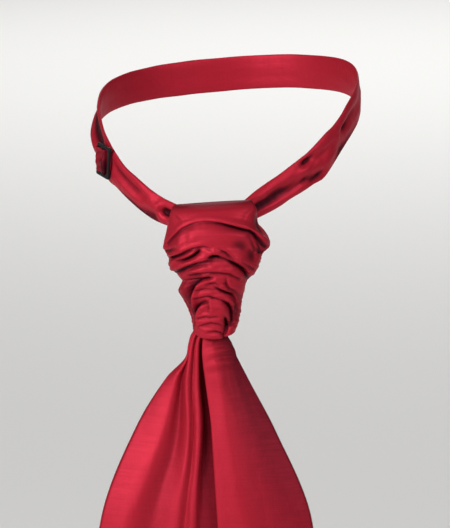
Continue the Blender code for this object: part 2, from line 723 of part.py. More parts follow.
def tail_ring(drop, pointed=0.0):
    """A ring at a drop; where it is pointed, it runs lower in its middle than at its edges."""
    sheet = from_table(TAIL_LEVELS, "drop", "sheet", drop)
    folded = sheet_ring(max(drop, 67.0))
    gathered = core_ring(drop)
    edges = (folded[0].x, folded[TAIL_COLUMNS - 1].x)
    middle = (edges[0] + edges[1]) / 2
    half = (edges[1] - edges[0]) / 2
    mouth = smooth_step((drop - 60) / 6) * (1 - smooth_step((drop - 67) / 12))
    ring = []
    for core, flat in zip(gathered, folded):
        point = core.lerp(flat, sheet)
        share = max(-1.0, min(1.0, (point.x - middle) / half))
        rise = TAIL_MOUTH_RISE * mouth * smooth_step(-share)
        low = drop - rise + pointed * (1 - abs(share))
        ring.append(Vector((point.x, point.y, KNOT_TOP - low * MM)))
    return ring


def make_tail(collection, material):
    top = TAIL_LEVELS[0]["drop"]
    drops = [top, top + 12, 48, 56, 61, 64, 66, 67.5, 69, 70.5, 72.5, 75, 78, 82, 87, 93, 100, 108]
    while drops[-1] + 10 < TAIL_STRAIGHT_DROP:
        drops.append(drops[-1] + 10)
    rings = [tail_ring(drop) for drop in drops]
    steps = 9
    for step in range(steps + 1):
        share = step / steps
        drop = TAIL_STRAIGHT_DROP + (TAIL_SHOULDER_DROP - TAIL_STRAIGHT_DROP) * share
        rings.append(tail_ring(drop, (TAIL_TIP_DROP - TAIL_SHOULDER_DROP) * share))
    return new_object("tail", loft_mesh("tail", [rings]), collection, material)


def main():
    clear_scene()
    parts = make_collection("silk_cravat")
    cutters = make_collection("cutters", hidden=True)
    silk = make_material("burgundy silk satin", SILK_COLOUR, 0.38)
    black = make_material("black enamelled metal", SLIDE_COLOUR, 0.35, 0.6)
    make_strap("neck_band_long", LONG_STRAP_ENDS, parts, silk)
    make_strap("neck_band_short", SHORT_STRAP_ENDS, parts, silk)
    make_slide(parts, black)
    make_loop(parts, silk)
    make_knot(parts, cutters, silk)
    make_tail(parts, silk)


main()
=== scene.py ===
"""Looks of a silk cravat with a ruched knot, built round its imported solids.

The frame is +Z up, the front of the wearer faces -Y and the wearer's left is at +X.
Angles round the neck and round the knot run from the front, positive towards +X.
"""

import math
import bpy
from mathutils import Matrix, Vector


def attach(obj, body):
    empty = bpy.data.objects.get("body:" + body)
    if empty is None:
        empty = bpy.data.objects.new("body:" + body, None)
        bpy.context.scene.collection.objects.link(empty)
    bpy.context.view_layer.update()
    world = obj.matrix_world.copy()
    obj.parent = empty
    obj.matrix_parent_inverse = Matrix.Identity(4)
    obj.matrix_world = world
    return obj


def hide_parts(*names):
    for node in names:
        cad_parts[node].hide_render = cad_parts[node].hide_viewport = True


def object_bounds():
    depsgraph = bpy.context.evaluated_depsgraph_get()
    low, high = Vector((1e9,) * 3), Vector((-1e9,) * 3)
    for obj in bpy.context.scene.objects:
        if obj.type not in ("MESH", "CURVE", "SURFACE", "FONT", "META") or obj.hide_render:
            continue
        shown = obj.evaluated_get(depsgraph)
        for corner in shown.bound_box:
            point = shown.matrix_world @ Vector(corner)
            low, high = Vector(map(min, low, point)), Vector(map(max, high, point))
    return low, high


bl_info = {
    "name": "Silk cravat",
    "version": (1, 0, 0),
    "blender": (4, 5, 0),
    "location": "3D View > Sidebar > Cravat",
    "description": "Models the silk of a ruched cravat round its packed solids",
    "category": "Add Mesh",
}

import bmesh
import bpy
import numpy as np
from mathutils import Matrix, Vector, noise

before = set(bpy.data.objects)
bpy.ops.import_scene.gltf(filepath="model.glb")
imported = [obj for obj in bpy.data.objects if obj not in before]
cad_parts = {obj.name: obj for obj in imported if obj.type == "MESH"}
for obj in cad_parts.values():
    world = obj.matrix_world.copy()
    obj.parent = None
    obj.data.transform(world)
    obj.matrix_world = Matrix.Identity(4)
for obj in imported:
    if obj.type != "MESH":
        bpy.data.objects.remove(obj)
CAD_BOX = [list(corner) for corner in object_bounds()]

MM = 0.001
TURN = math.tau

# Neck loop, as in the part's source
NECK_HALF_WIDTH = 67.5
NECK_HALF_DEPTH = 64.0
NECKLINE_DROP = 56.0
NECKLINE_POWER = 2.8
NECKLINE_TILT = math.radians(4.5)
THROAT_PULL = 8.0
THROAT_REACH = math.radians(20)

# Band: angle, width, thickness, lift
BAND_STATIONS = (
    (-66, 16.5, 2, 0),
    (-57, 15.5, 2, -0.5),
    (-48, 14, 2.2, -0.8),
    (-34, 13.5, 2.4, -0.8),
    (-22, 12.5, 3, -0.4),
    (-12, 11, 3.6, 0),
    (12, 11, 3.6, 1.4),
    (20, 13.5, 3, 2.4),
    (34, 15.5, 2.6, 2),
    (50, 17, 2.4, 0.8),
    (80, 18, 2, 0),
    (180, 18, 2, 0),
    (262, 17.5, 2.2, 0),
    (286, 16, 2.8, 0),
    (294, 16.5, 2.2, 0),
    (303, 15.5, 2, -0.5),
)
LONG_STRAP_ENDS = (0.15, 303.38)
SHORT_STRAP_ENDS = (-0.15, -56.38)
MEAN_NECK_RADIUS = 66.0

# A strap's mesh and section: sides round its tube, length of a row, squareness of its edges,
# how far its outer relief shows inside, and the painted shade of its folds: its strength, the depth at which
# it starts and the depth over which it grows
STRAP_SIDES = 80
STRAP_ROW_LENGTH = 0.8
STRAP_EDGE_POWER = 3.6
STRAP_INNER_RELIEF = 0.25
STRAP_SHADE = 0.95
STRAP_SHADE_FROM = 0.15
STRAP_SHADE_REACH = 1.5

# Noise on the straps, with waves in millimetres: how far the folds wander, by share of the
# half width, how far the middle lifts, and the relief: height, step of the seed, wave along,
# waves across the half width, step from the inner face to the outer
STRAP_WANDER = (0.07, 9)
STRAP_LIFT = (0.25, 14)
STRAP_RIPPLES = ((0.3, 0, 13, 1.5, 4), (0.1, 1, 5, 4, 3))

# Relief of each strap's outer face in millimetres: a row for each angle, a column for each
# share of the half width, from the lower edge to the upper
RELIEF_SHARES = (-0.95, -0.6, -0.3, 0, 0.3, 0.6, 0.95)
LONG_STRAP_RELIEF = (
    (10, 0, 0, 0, 0, 0, 0, 0),
    (14, -0.2, -0.6, -1.4, -1.6, -0.6, 0.6, 0.3),
    (18, -0.1, -0.4, -1.6, -1.7, -0.2, 1.1, 0.6),
    (22, -0.1, 0, -1.5, -1.6, 0.4, 1.5, 0.6),
    (25, 0, 0.1, -1.3, -1.7, -0.6, 1.4, 0.9),
    (28, 0.1, 0, -1.1, -1.8, -0.8, 1.1, 0.9),
    (32, 0.4, 0.2, -1, -1.1, 0.3, 1.1, 0.6),
    (36, 0.5, 0.4, -0.8, -0.3, 0.8, 0.8, 0.3),
    (39, 0.4, -0.3, -1.3, 0.5, 1, 0.3, 0),
    (42, 0.1, -1.4, -0.4, 1.3, 1.1, -1, -0.3),
    (46, -0.2, -0.9, 0.5, 1.1, -0.2, -0.8, 0.4),
    (50, -0.3, 0.7, 1.2, 0.5, -0.7, 0.3, 0.7),
    (55, -0.9, -0.2, 0.6, 0.6, 0.1, 0.7, 0.6),
    (60, -1.2, -1, -0.3, 0.4, 0.8, 0.8, 0.3),
    (65, -1, -0.7, -0.3, -0.3, -1, 0.5, 0.9),
    (70, -0.9, -0.6, -0.2, -0.5, -1, 0.4, 1),
    (76, -0.5, -0.3, 0, -0.4, -0.8, 0.3, 0.8),
    (84, 0, 0.1, 0.3, 0, -0.3, 0.1, 0.3),
    (100, 0, -0.3, 0.2, 0.5, 0.1, -0.2, 0.1),
    (125, 0.1, 0.3, -0.3, -0.2, 0.4, 0.2, 0),
    (150, 0.1, 0.4, 0.2, -0.5, -0.1, 0.4, 0.1),
    (175, 0, 0, 0.5, 0.1, -0.5, 0.1, 0.2),
    (200, 0.1, -0.3, 0.2, 0.5, 0, -0.3, 0.1),
    (225, 0.1, 0.3, -0.4, 0.1, 0.5, 0, 0),
    (248, 0, 0.3, 0.3, -0.3, -0.2, 0.3, 0.1),
    (262, 0, 0.3, 0.4, -0.2, -0.7, -0.5, 0.3),
    (270, 0.2, 0.6, 0.3, -0.7, -1.5, -1.2, 0.5),
    (278, 0.3, 0.8, -0.1, -1.4, -2.1, -1.7, 0.6),
    (286, 0.3, 0.8, -0.4, -1.7, -2.2, -1.6, 0.5),
    (292, 0.2, 0.4, -0.4, -1.6, -2.1, -1.2, 0.3),
    (297, 0, 0.1, -0.4, -0.9, -1, -0.5, 0),
    (303, 0, 0, 0, 0, 0, 0, 0),
)
SHORT_STRAP_RELIEF = (
    (-57, -0.9, -1.2, -1.3, -1.3, -1.2, -0.8, -0.2),
    (-55, -0.7, -0.9, -0.7, -0.3, -0.1, 0.1, 0.2),
    (-53, -0.1, 0.2, 0.3, 0.1, -0.4, 0, 0.3),
    (-50, -0.5, 0.6, 0.8, -0.2, -1, -0.1, 0.8),
    (-46, -0.8, 0.4, 0.9, -0.4, -1.1, 0, 1.1),
    (-42, -1.2, 0.1, 0.8, -0.6, -1.1, 0, 1.2),
    (-38, -1.5, -0.2, 0.7, -0.6, -1.1, 0.2, 1.2),
    (-34, -1.5, -0.3, 0.6, -0.1, -0.6, 0.6, 1),
    (-30, -1.5, -1, 0.2, 1.2, 0.9, 0.9, 0.6),
    (-26, -1.5, -1.4, 0, 1.6, 1.4, 0.2, -0.4),
    (-22, -0.8, 0.4, 0.4, -1.6, -1, 0.2, 0.2),
    (-18, -0.4, 0.4, 0.2, -1.4, -0.8, 0.3, 0.2),
    (-12, 0, 0, 0, 0, 0, 0, 0),
)

# Pits and knuckles of the straps: angle, share, reach in degrees, reach in shares, height
LONG_STRAP_PITS = (
    (16.8, 0.62, 1.2, 0.16, -1.1),
    (43.2, 0.62, 1.9, 0.14, -1.2),
    (40.4, 0.3, 2.2, 0.2, 0.5),
    (45.6, -0.62, 2.4, 0.12, -0.6),
    (66.5, 0.22, 1.8, 0.2, -0.6),
)
SHORT_STRAP_PITS = (
    (-20.9, -0.1, 1.7, 0.3, -1.6),
    (-24.6, 0.2, 1.3, 0.5, 0.7),
    (-23.5, -0.55, 2.2, 0.2, 0.5),
)

# How far each strap's lower and upper edges stray outward, in millimetres, by angle
LONG_STRAP_EDGES = (
    (18, 0, 0), (26, -0.5, 0.6), (31, -1.1, 0.5), (37, -0.4, 0.3), (41, 0, 0), (46, 1.4, -0.3),
    (51, 0.5, 0), (56, -0.6, 0.2), (61, -1.3, -0.5), (67, -1.5, -0.4), (73, -1.4, 0.3), (80, -0.8, 0),
    (95, 0, 0), (130, 0.3, -0.2), (165, -0.2, 0.2), (200, 0.2, 0.2), (235, -0.2, -0.1), (265, 0, 0),
    (285, 0.2, 0.3), (296, 0, 0), (303, 0, 0),
)
SHORT_STRAP_EDGES = (
    (-57, 2.2, 0), (-52, 1.4, 0), (-47, 0, -0.2), (-40, -0.2, 0.3), (-32, 0.1, -0.1), (-25, 0.6, -0.3),
    (-17, 0.4, 0),
)

# How far each strap's upper edge leans out, and its lower edge in, by angle
LONG_STRAP_LEAN = (
    (0, 0), (60, 0), (80, -0.6), (120, -0.4), (220, -0.3), (262, -1.2), (278, -1.5), (288, -1),
    (296, -0.2), (303, 0),
)
SHORT_STRAP_LEAN = ((-60, 0), (0, 0))

# Adjuster slide, flat on the outside of the short strap
SLIDE_ANGLE = math.radians(-58)
SLIDE_TURN = math.radians(24)
SLIDE_SHIFT = -1.4
SLIDE_LENGTH = 13.5
SLIDE_WIDTH = 16.5
SLIDE_BAR = 1.6
SLIDE_THICKNESS = 1.4
SLIDE_CORNER = 0.88
SLIDE_LIFT = 2.6
LOOP_WIDTH = 12.4
LOOP_ROOM = 1.3
LOOP_WALL = 0.6
LOOP_GRID = (48, 72)
SEAM = 0.3

# Knot, with the sleeve's sections: drop, fall right, fall left, right, left, front, back
KNOT_TOP = -45.5
KNOT_AXIS_TOP = -73.5
KNOT_AXIS_LEAN = -4.0
KNOT_LENGTH = 66.0
KNOT_SQUARENESS = 2.3
KNOT_FALL_POWER = 3.0
SLEEVE_GRID = (240, 204)
SLEEVE_ROW_POWER = 1.08
SLEEVE_COLUMN_POWER = 1.12
HEM_FROM = 0.95
HEM_RADIUS = 0.9
HEM_RISE = 4.5
HEM_BEND_SHARE = 0.35
KNOT_SECTIONS = (
    (0, 0, 0, 19.2, 18, 0, 0),
    (0.25, 0.2, 0.2, 20, 18.8, 2.8, 2.5),
    (0.9, 0.9, 0.9, 21, 19.6, 5, 4.6),
    (2.6, 3.6, 3.6, 22.3, 21.7, 8.4, 7.6),
    (6, 8.6, 8.6, 24, 23.3, 10.8, 9.8),
    (7.5, 10.6, 10.2, 24.7, 24.9, 11.6, 10.3),
    (9, 12, 11.6, 25.2, 27.7, 12.2, 10.8),
    (12, 12, 11.8, 24.2, 27.4, 13.2, 11.2),
    (16, 10.4, 10.6, 23.6, 24.6, 13.8, 11.4),
    (22, 7.6, 8, 23, 23.2, 14.2, 11.4),
    (28, 5.4, 6, 20.8, 21.6, 13.8, 11.2),
    (32, 4.6, 5, 17.6, 19.2, 13.2, 10.8),
    (35, 4.4, 4.6, 15.4, 16.6, 12.8, 10.4),
    (39, 5, 5, 16.6, 15.2, 12.4, 9.8),
    (43, 6, 5.6, 14.6, 14.2, 12, 9.4),
    (48, 6, 6, 12.4, 13.1, 11.4, 9),
    (54, 4, 5, 11.2, 12.2, 10.8, 8.6),
    (60, 0, 1.5, 10.8, 11.2, 10.2, 8.2),
    (66, -3.5, -2, 10.4, 10.6, 9.6, 7.8),
)

# Creases of the ruching: reach above, reach below, points of across, drop and depth, all
# in millimetres, across being positive at the right of who looks at that face
FRONT_CREASES = [
    (0.7, 3, (
        (-22.8, 18.2, 1.4), (-20.6, 15.8, 1.5), (-17.9, 13.3, 1.4), (-14.9, 10.8, 1.3),
        (-10.8, 8.9, 1.3), (-7.4, 8, 0.8), (-3.4, 7.7, 0.8), (0.1, 8.1, 1.2), (5, 9, 2),
        (10, 10.5, 2.8), (14.8, 12.2, 2.8), (18.7, 13.6, 2.6), (21.1, 15.5, 2.8),
        (23.9, 18.9, 2.8), (26.2, 22.6, 2.2),
    )),
    (0.7, 2, ((-24.5, 22.3, 2.2), (-21.7, 21.8, 1.6), (-17.9, 20, 0.4))),
    (0.7, 2, ((18.2, 15.4, 0.3), (20.4, 19.9, 1), (22, 24.2, 1.4))),
    (0.7, 2.2, ((22.1, 17.5, 0.6), (23.8, 22, 1.6), (24.2, 25.5, 2.4), (25.7, 25.4, 2))),
    (0.6, 1.6, (
        (-21.5, 25.6, 2.4), (-18.3, 24.4, 2.2), (-15.1, 23.1, 1.9), (-12.1, 21.5, 1.5),
        (-9.1, 20.3, 1.2), (-5.6, 19.5, 1), (-2.5, 19.8, 0.7), (0.4, 21.3, 0.3),
    )),
    (0.7, 1.5, (
        (-17.8, 27.2, 0.8), (-15.2, 26.5, 1.8), (-12.1, 25.3, 2.8), (-9, 23.6, 3.4),
        (-6.8, 21.9, 2.6), (-5.6, 20.8, 0.6),
    )),
    (0.7, 2.4, (
        (-20.3, 33.7, 2.6), (-17, 32.1, 2.8), (-12.7, 30, 2.4), (-8, 28.1, 2),
        (-3.1, 27.1, 1.5), (1.9, 26.6, 1.1), (5.8, 26.4, 0.5),
    )),
    (0.5, 1.2, ((-12.7, 32.1, 0.3), (-10.1, 30.7, 0.9), (-6.6, 29.6, 1), (-2.1, 29.1, 0.6))),
    (0.6, 1.8, (
        (-11.3, 34.7, 1), (-8.7, 34, 1.6), (-5.6, 33.2, 1.3), (-0.6, 32.8, 1.2),
        (4.3, 33, 1.3), (9.1, 33.9, 1.4), (13.7, 37, 1),
    )),
    (0.8, 2.2, (
        (-1.9, 25.4, 0.8), (-0.5, 24.7, 2.8), (0.8, 24.2, 3.6), (2.9, 24.3, 3), (5.3, 25.3, 1.6),
        (7.7, 26.5, 1.6), (10.2, 27.8, 2.6), (13, 29.5, 3.4), (15.8, 31.6, 3.8),
        (17.6, 34, 3.8), (18.2, 36.9, 2.8),
    )),
    (0.6, 1.4, (
        (3.9, 21.2, 0.4), (5.6, 22, 1.2), (7.3, 23, 1.6), (9.2, 24.7, 1.4), (11.2, 26.3, 0.6),
    )),
    (0.6, 1.4, ((15.4, 28.3, 0.4), (18.2, 30.3, 0.9), (20.4, 32.6, 1.2))),
    (0.6, 1.4, (
        (-14.2, 37.8, 0.6), (-10.8, 37.1, 0.9), (-7.7, 36.5, 1.4), (-4.1, 35.6, 2),
        (-1.4, 35.1, 2), (0.8, 35.4, 0.5),
    )),
    (0.7, 5, (
        (-3.6, 36.1, 0.8), (-5.9, 37.2, 2.6), (-8, 38.9, 4), (-9.4, 41.3, 5),
        (-10.4, 44.5, 5.2), (-10.9, 48.4, 4.6), (-10.9, 52.4, 3), (-10.5, 55, 1.2),
    )),
    (0.5, 1.3, ((-7.7, 42.1, 0.5), (-4.2, 41.3, 0.8), (-0.2, 41.1, 0.7), (2.3, 41.4, 0.3))),
    (0.5, 1.4, ((-2.7, 39, 0.4), (-0.7, 38.2, 1.1), (1.8, 38, 1.2), (3.7, 39.1, 0.7))),
    (0.7, 1.8, (
        (1.3, 39.9, 0.5), (2.8, 40.6, 1.5), (4.7, 41.6, 2), (7.6, 43, 2.2), (10, 44, 2.2),
        (11.6, 46.1, 1.4), (12.8, 48.9, 0.7),
    )),
    (0.6, 1.6, (
        (7.6, 36.4, 0.6), (7.4, 38.7, 1.4), (8.8, 40.8, 1.4), (11.4, 42.5, 1.2), (13.5, 45.5, 0.9),
        (14, 48.9, 0.5),
    )),
    (0.5, 1.5, (
        (-7.8, 46.3, 0.5), (-4.2, 45.2, 0.9), (-1.2, 44.8, 1.1), (1, 45.4, 1.6),
        (3.2, 45.8, 0.9),
    )),
    (0.7, 2, (
        (3.7, 46.6, 0.6), (5.7, 47.1, 1.4), (8.1, 48.6, 2.4), (9.9, 51, 3), (10.7, 54.2, 3),
        (10.8, 57.3, 2.4), (10, 60.3, 1.4),
    )),
    (0.7, 2.2, (
        (-1.7, 47.8, 0.8), (-3.2, 48.1, 1.6), (-5.3, 48.9, 2.2), (-7.1, 50.7, 2.8),
        (-8.3, 53.3, 3), (-8.8, 56.6, 2.6), (-8.6, 60.2, 1.2),
    )),
    (0.5, 1.2, ((-1.5, 48.5, 0.4), (-1.1, 50.7, 0.8), (-1.5, 52.6, 0.4))),
    (0.5, 1.5, ((-6.4, 56.4, 0.4), (-3.3, 55.2, 0.8), (-0.3, 55.3, 0.9), (2.7, 54.9, 0.5))),
    (0.6, 1.6, (
        (-6.6, 60.8, 0.4), (-3.8, 59.3, 0.9), (-0.3, 58.2, 0.9), (2.7, 58.5, 0.9),
        (5.1, 59.8, 0.5),
    )),
    (1, 1.6, (
        (6.4, 55.2, 0.6), (7.3, 56.9, 2.8), (8, 59, 4.2), (7.9, 61.6, 4), (7.1, 64.1, 2.8),
        (6.4, 65.6, 1.6),
    )),
    (0.5, 1.4, ((-1.3, 62.8, 0.4), (1.7, 62.4, 0.9), (4.6, 63.3, 1.2), (6.3, 65.1, 0.8))),
    (0.5, 2, ((11.6, 46.2, 0.5), (12.3, 50, 1.6), (12.2, 54.1, 1.6), (11.7, 58, 0.8))),
    (0.5, 1.6, ((-20.7, 3.2, 0.3), (-18.4, 4.9, 0.5), (-15.6, 7.1, 0.2))),
    (0.5, 1.8, ((19, 2.9, 0.5), (16.9, 5, 0.5), (15.1, 7.7, 0.2))),
]
BACK_CREASES = [
    (0.9, 3.4, (
        (-20, 19, 1), (-10, 10.8, 2), (6, 9.8, 2.2), (16, 13, 2), (22, 19, 0.8),
    )),
    (0.9, 2.6, ((-16, 24, 1), (-6, 19, 2.2), (8, 18.4, 1.8), (14, 20.5, 0.6))),
    (0.9, 2.6, ((-4, 25.6, 0.8), (6, 25, 2.2), (14, 28, 2.2), (19, 33, 1))),
    (0.9, 2.4, ((-16, 34, 1.2), (-8, 31, 2), (3, 30.4, 1.6), (8, 31.4, 0.5))),
    (0.9, 2.4, ((-6, 38, 0.8), (3, 36.8, 1.8), (10, 39, 1.8), (14, 44, 0.8))),
    (0.9, 2.2, ((-12, 48, 0.8), (-6, 44.2, 1.8), (3, 43.4, 1.6), (8, 44.8, 0.5))),
    (0.9, 2.2, ((-5, 51.4, 0.6), (2, 50.2, 1.6), (9, 53.4, 1.4), (11, 57, 0.6))),
    (0.9, 2, ((-8, 59.6, 0.6), (-2, 57.4, 1.4), (4, 57.2, 1.2), (8, 59, 0.5))),
]

# How far a crease rolls the cloth over itself, and how high the lip above it stands
CREASE_ROLL = 0.5
CREASE_ROLL_LIMIT = 0.5
CREASE_LIP = 0.3

# Fine creases by noise: height, seed, wave across and wave down; and the drops between which
# they come to full height, from their share on the smoother upper cloth
SLEEVE_RIPPLES = ((0.36, 11, 9, 1.7), (0.17, 12, 3.4, 0.9))
RIPPLE_FACE_STEP = 3
RIPPLE_DROPS = (19, 27)
RIPPLE_UPPER_SHARE = 0.25

# The folded top: the drop down to which the creases fade out; painted shade over all the sleeve, and more
# painted shade along the folded top, fading out by a drop
TOP_CALM_DROP = 4
TOP_SHADE = 0.07
TOP_FOLD_SHADE = 0.6
TOP_FOLD_DROP = 2.2

# How far forward the creases of the front push, and how near the sides they stop rolling
CREASE_PUSH = 0.9
SIDE_SEAM_REACH = 0.35

# Soft swells and hollows: angle, drop, reach in each, height; and how much painted shade the hollows get
SWELL_SHADE = 0.44
SWELLS = (
    (-42, 15, 30, 5, 0.8),
    (-40, 14.6, 6, 6, 0.45),
    (-30, 14.4, 5, 5, -0.35),
    (-21, 13.6, 7, 3.5, 0.35),
    (30, 14.5, 26, 4, 0.9),
    (34, 18.6, 14, 3.4, -1.5),
    (57, 21.4, 15, 4.4, -1.6),
    (70, 10.6, 10, 3.6, 0.5),
    (82, 5.2, 22, 2.6, -2),
    (-82, 18, 18, 4, -1.4),
    (-84, 40, 20, 4.5, 1),
    (-66, 37.5, 14, 4, 0.7),
    (66, 54, 15, 7, 0.4),
    (0, 54, 32, 6, 0.9),
    (44, 17, 9, 6, -0.5),
    (8, 30.6, 6, 0.9, -0.55),
    (-3, 39.8, 7, 0.8, -0.5),
    (2, 44, 6, 1.2, -0.5),
    (-14, 52.6, 8, 1, -0.5),
    (12, 51.4, 6, 0.9, -0.45),
)

# Tail: drop and how far forward, then lines down the cloth with their places across and then
# their depths at the line drops, and the painted shade along each line
TAIL_LEVELS = (
    (22, 75.8), (58, 78), (64.5, 78.3), (67, 78.6), (70, 79.2), (74, 80), (88, 83), (112, 90),
    (155, 101), (215, 110), (293, 113), (350, 113.5),
)
TAIL_LINE_DROPS = (67, 76, 88, 112, 155, 215)
TAIL_LINES = {
    "right edge": (-11.4, -12.5, -23.4, -38, -54, -62, -1, -2, -3, -3.5, -2.5, -1),
    "outer ridge": (-11, -12.1, -18.3, -23.5, -40, -52, 0.5, 0.8, 0.6, 1.5, 1.2, 0.4),
    "outer valley": (-10.6, -11.7, -15.6, -17, -28, -40, 0, -0.5, -2, -2.6, -1.8, -0.6),
    "middle ridge": (-9.8, -11, -12.2, -11.2, -16, -24, 1.4, 2.6, 3, 3, 2, 0.8),
    "small valley": (-8.4, -9.9, -10.3, -8.6, -12, -18, 0.4, 0.6, 0.8, 0.6, 0.4, 0.2),
    "inner ridge": (-7.3, -7.7, -7.7, -6, -8, -11, 1.2, 2, 2.2, 2.4, 2, 0.8),
    "pleat wall": (-6.5, -6.6, -6.2, -4.2, -4, -4.5, -1, -2, -2.6, -2.6, -1.6, -0.8),
    "pleat floor": (-4.2, -3.2, -1.2, 3.6, 8, 12, -1.8, -3.8, -4.4, -4.4, -3.2, -1.4),
    "pleat edge": (-5, -4.4, -2.8, 1.2, 4.8, 9, 2, 3.4, 3.8, 4.2, 3.6, 1.6),
    "panel front": (-1, 0.6, 3.2, 8.4, 16, 22, 2.6, 4.2, 4.8, 4.8, 3.8, 1.4),
    "panel side": (3.7, 5.6, 8.4, 17, 29, 35.5, 1.2, 1.4, 1.8, 1.6, 0.8, 0),
    "left fold": (7.2, 9.4, 13.7, 24.5, 40.5, 47.5, 0, -1.4, -1.4, -0.4, 0.8, 0.6),
    "left edge": (8.3, 11, 17.4, 31.5, 51, 59, -1.4, -3.6, -4.2, -3.8, -2.4, -0.8),
}
TAIL_SHADE = (0.3, 0, 0.45, 0, 0.2, 0, 0.95, 1, 0, 0.1, 0.6, 0.95, 0.95)

# Small rucks of the tail just below the knot: across, drop, reach in each, height; how much
# painted shade their hollows get, and how they bow down at their ends
RUCK_SHADE = 0.35
RUCK_BOW = 0.03
TAIL_RUCKS = (
    (3.6, 70.8, 5, 1.1, -0.8),
    (4.6, 73.4, 5, 1.2, 0.5),
    (5.4, 76.2, 5.5, 1.4, -0.9),
    (5, 79.6, 5, 1.6, 0.4),
    (2, 83, 4, 2.2, -0.35),
)

# How narrow the tail is by drop, where the sleeve gathers it, and its other levels
TAIL_SQUEEZE = ((56, 0.62), (62, 0.66), (67, 0.8), (70, 0.94), (74, 1), (80, 1))
TAIL_TOP_DROP = 57.0
TAIL_STRAIGHT_DROP = 215.0
TAIL_SHOULDER_DROP = 293.0
TAIL_TIP_DROP = 350.0
TAIL_MOUTH_RISE = 3.0
TAIL_MOUTH_DROPS = (60, 66, 67, 79)
TAIL_GRID = (300, 270)
TAIL_ROW_POWER = 1.15
TAIL_EDGE_SHARE = 0.006
TAIL_END_SHARE = 0.002

# Unevenness of the tail: height, seed, waves across, wave down, and the drops of its start
# and of its full height
TAIL_RIPPLES = ((0.8, 21, 9, 45, 76, 116), (0.22, 22, 30, 16, 68, 88))

# Painted shade of the tail: how strong, and weaker by how much between two drops; and the painted shade
# under the knot
TAIL_SHADE_SHARE = 0.75
TAIL_SHADE_LOSS = 0.35
TAIL_SHADE_DROPS = (90, 180)
MOUTH_SHADE = 0.8
MOUTH_SHADE_DROPS = (69.5, 62.5)

# Silks: name, and how many crinkles to the metre, their stretch in X, Y and Z, and their height
STRAP_CRINKLES = (70.0, (1.0, 1.0, 1.6), 0.0004)
LOOP_SILK = ("loop silk", 70.0, (1.0, 1.0, 1.0), 0.0002)
SLEEVE_SILK = ("ruched silk", 140.0, (0.6, 1.0, 1.3), 0.00016)
TAIL_SILK = ("tail silk", 60.0, (1.0, 1.0, 0.5), 0.0006)

# Stage: floor, camera, and each light's name, place, size, power setting and target
FLOOR_HALF_SIZE = 14.0
FLOOR_GAP = 0.012
CAMERA_PLACE = (0.1381, -1.5784, 0.2227)
CAMERA_TARGET = (0.006, -0.08, -0.0754)
CAMERA_LENS = 211.636
KNOT_TARGET = (0, -0.08, -0.12)
LIGHTS = (
    ("key light", (-1.1, -1.35, 0.75), 0.85, "key_power", KNOT_TARGET),
    ("high light", (0.95, -1.0, 0.85), 0.7, "high_power", KNOT_TARGET),
    ("low light", (-0.8, -1.3, -0.3), 0.5, "low_power", KNOT_TARGET),
    ("fill light", (1.3, -1.2, 0.1), 1.2, "fill_power", KNOT_TARGET),
    ("back light", (0.5, 1.4, 0.9), 1.0, "fill_power", KNOT_TARGET),
    ("floor light", (0.0, 3.3, 1.4), 3.4, "floor_power", (0, 3.3, -0.4)),
)


def smooth_step(value):
    """From none at nought to one at one, level at both."""
    value = np.clip(value, 0.0, 1.0)
    return value * value * (3 - 2 * value)


def between(value, start, end):
    """From none at the start to one at the end."""
    return smooth_step((value - start) / (end - start))


def bell(distance, reach, power=2):
    """One at no distance, falling off softly past the reach."""
    return np.exp(-((distance / reach) ** power))


def tangents_at(keys, values):
    """Slopes at a table's points that keep a curve through them inside each pair's own range."""
    shape = (-1,) + (1,) * (values.ndim - 1)
    slopes = np.diff(values, axis=0) / np.diff(keys).reshape(shape)
    before, after = slopes[:-1], slopes[1:]
    same_way = before * after > 0
    total = np.where(same_way, before + after, 1.0)
    middle = np.where(same_way, 2 * before * after / total, 0.0)
    return np.concatenate([slopes[:1], middle, slopes[-1:]])


def place_in(keys, at):
    """Each place's span of a table, that span's length, and the share of it that is passed."""
    at = np.clip(at, keys[0], keys[-1])
    index = np.clip(np.searchsorted(keys, at, side="right") - 1, 0, len(keys) - 2)
    span = keys[index + 1] - keys[index]
    return index, span, (at - keys[index]) / span


def blend(values, tangents, before, after, span, t):
    """The smooth curve from one point of a table to the next, each given by its index."""
    return (
        values[before] * (2 * t**3 - 3 * t**2 + 1)
        + tangents[before] * span * (t**3 - 2 * t**2 + t)
        + values[after] * (3 * t**2 - 2 * t**3)
        + tangents[after] * span * (t**3 - t**2)
    )


def curve_through(keys, values, at):
    """Smooth values at many places from a table's points, kept to each pair's own range."""
    keys = np.asarray(keys, float)
    values = np.asarray(values, float)
    index, span, t = place_in(keys, at)
    shape = (-1,) + (1,) * (values.ndim - 1)
    return blend(values, tangents_at(keys, values), index, index + 1, span.reshape(shape), t.reshape(shape))


def row_at(table, at):
    """Smooth values of a table's other columns at places of its first."""
    table = np.array(table, float)
    return curve_through(table[:, 0], table[:, 1:], at)


def table_at(table, columns, at_row, at_column):
    """Smooth values of a table whose rows go by one measure and whose columns go by another."""
    columns = np.array(columns, float)
    values = row_at(table, at_row).T
    index, span, t = place_in(columns, at_column)
    here = np.arange(len(at_column))
    return blend(values, tangents_at(columns, values), (index, here), (index + 1, here), span, t)


def ripple(height, seed, *coordinates):
    """Smooth noise of a height, either way, at places given by their three coordinates."""
    shift = Vector((seed * 7.3, seed * 3.1, seed * 5.7))
    places = np.stack(np.broadcast_arrays(*coordinates), axis=-1).tolist()
    return height * np.array([noise.noise(Vector(place) + shift) for place in places])


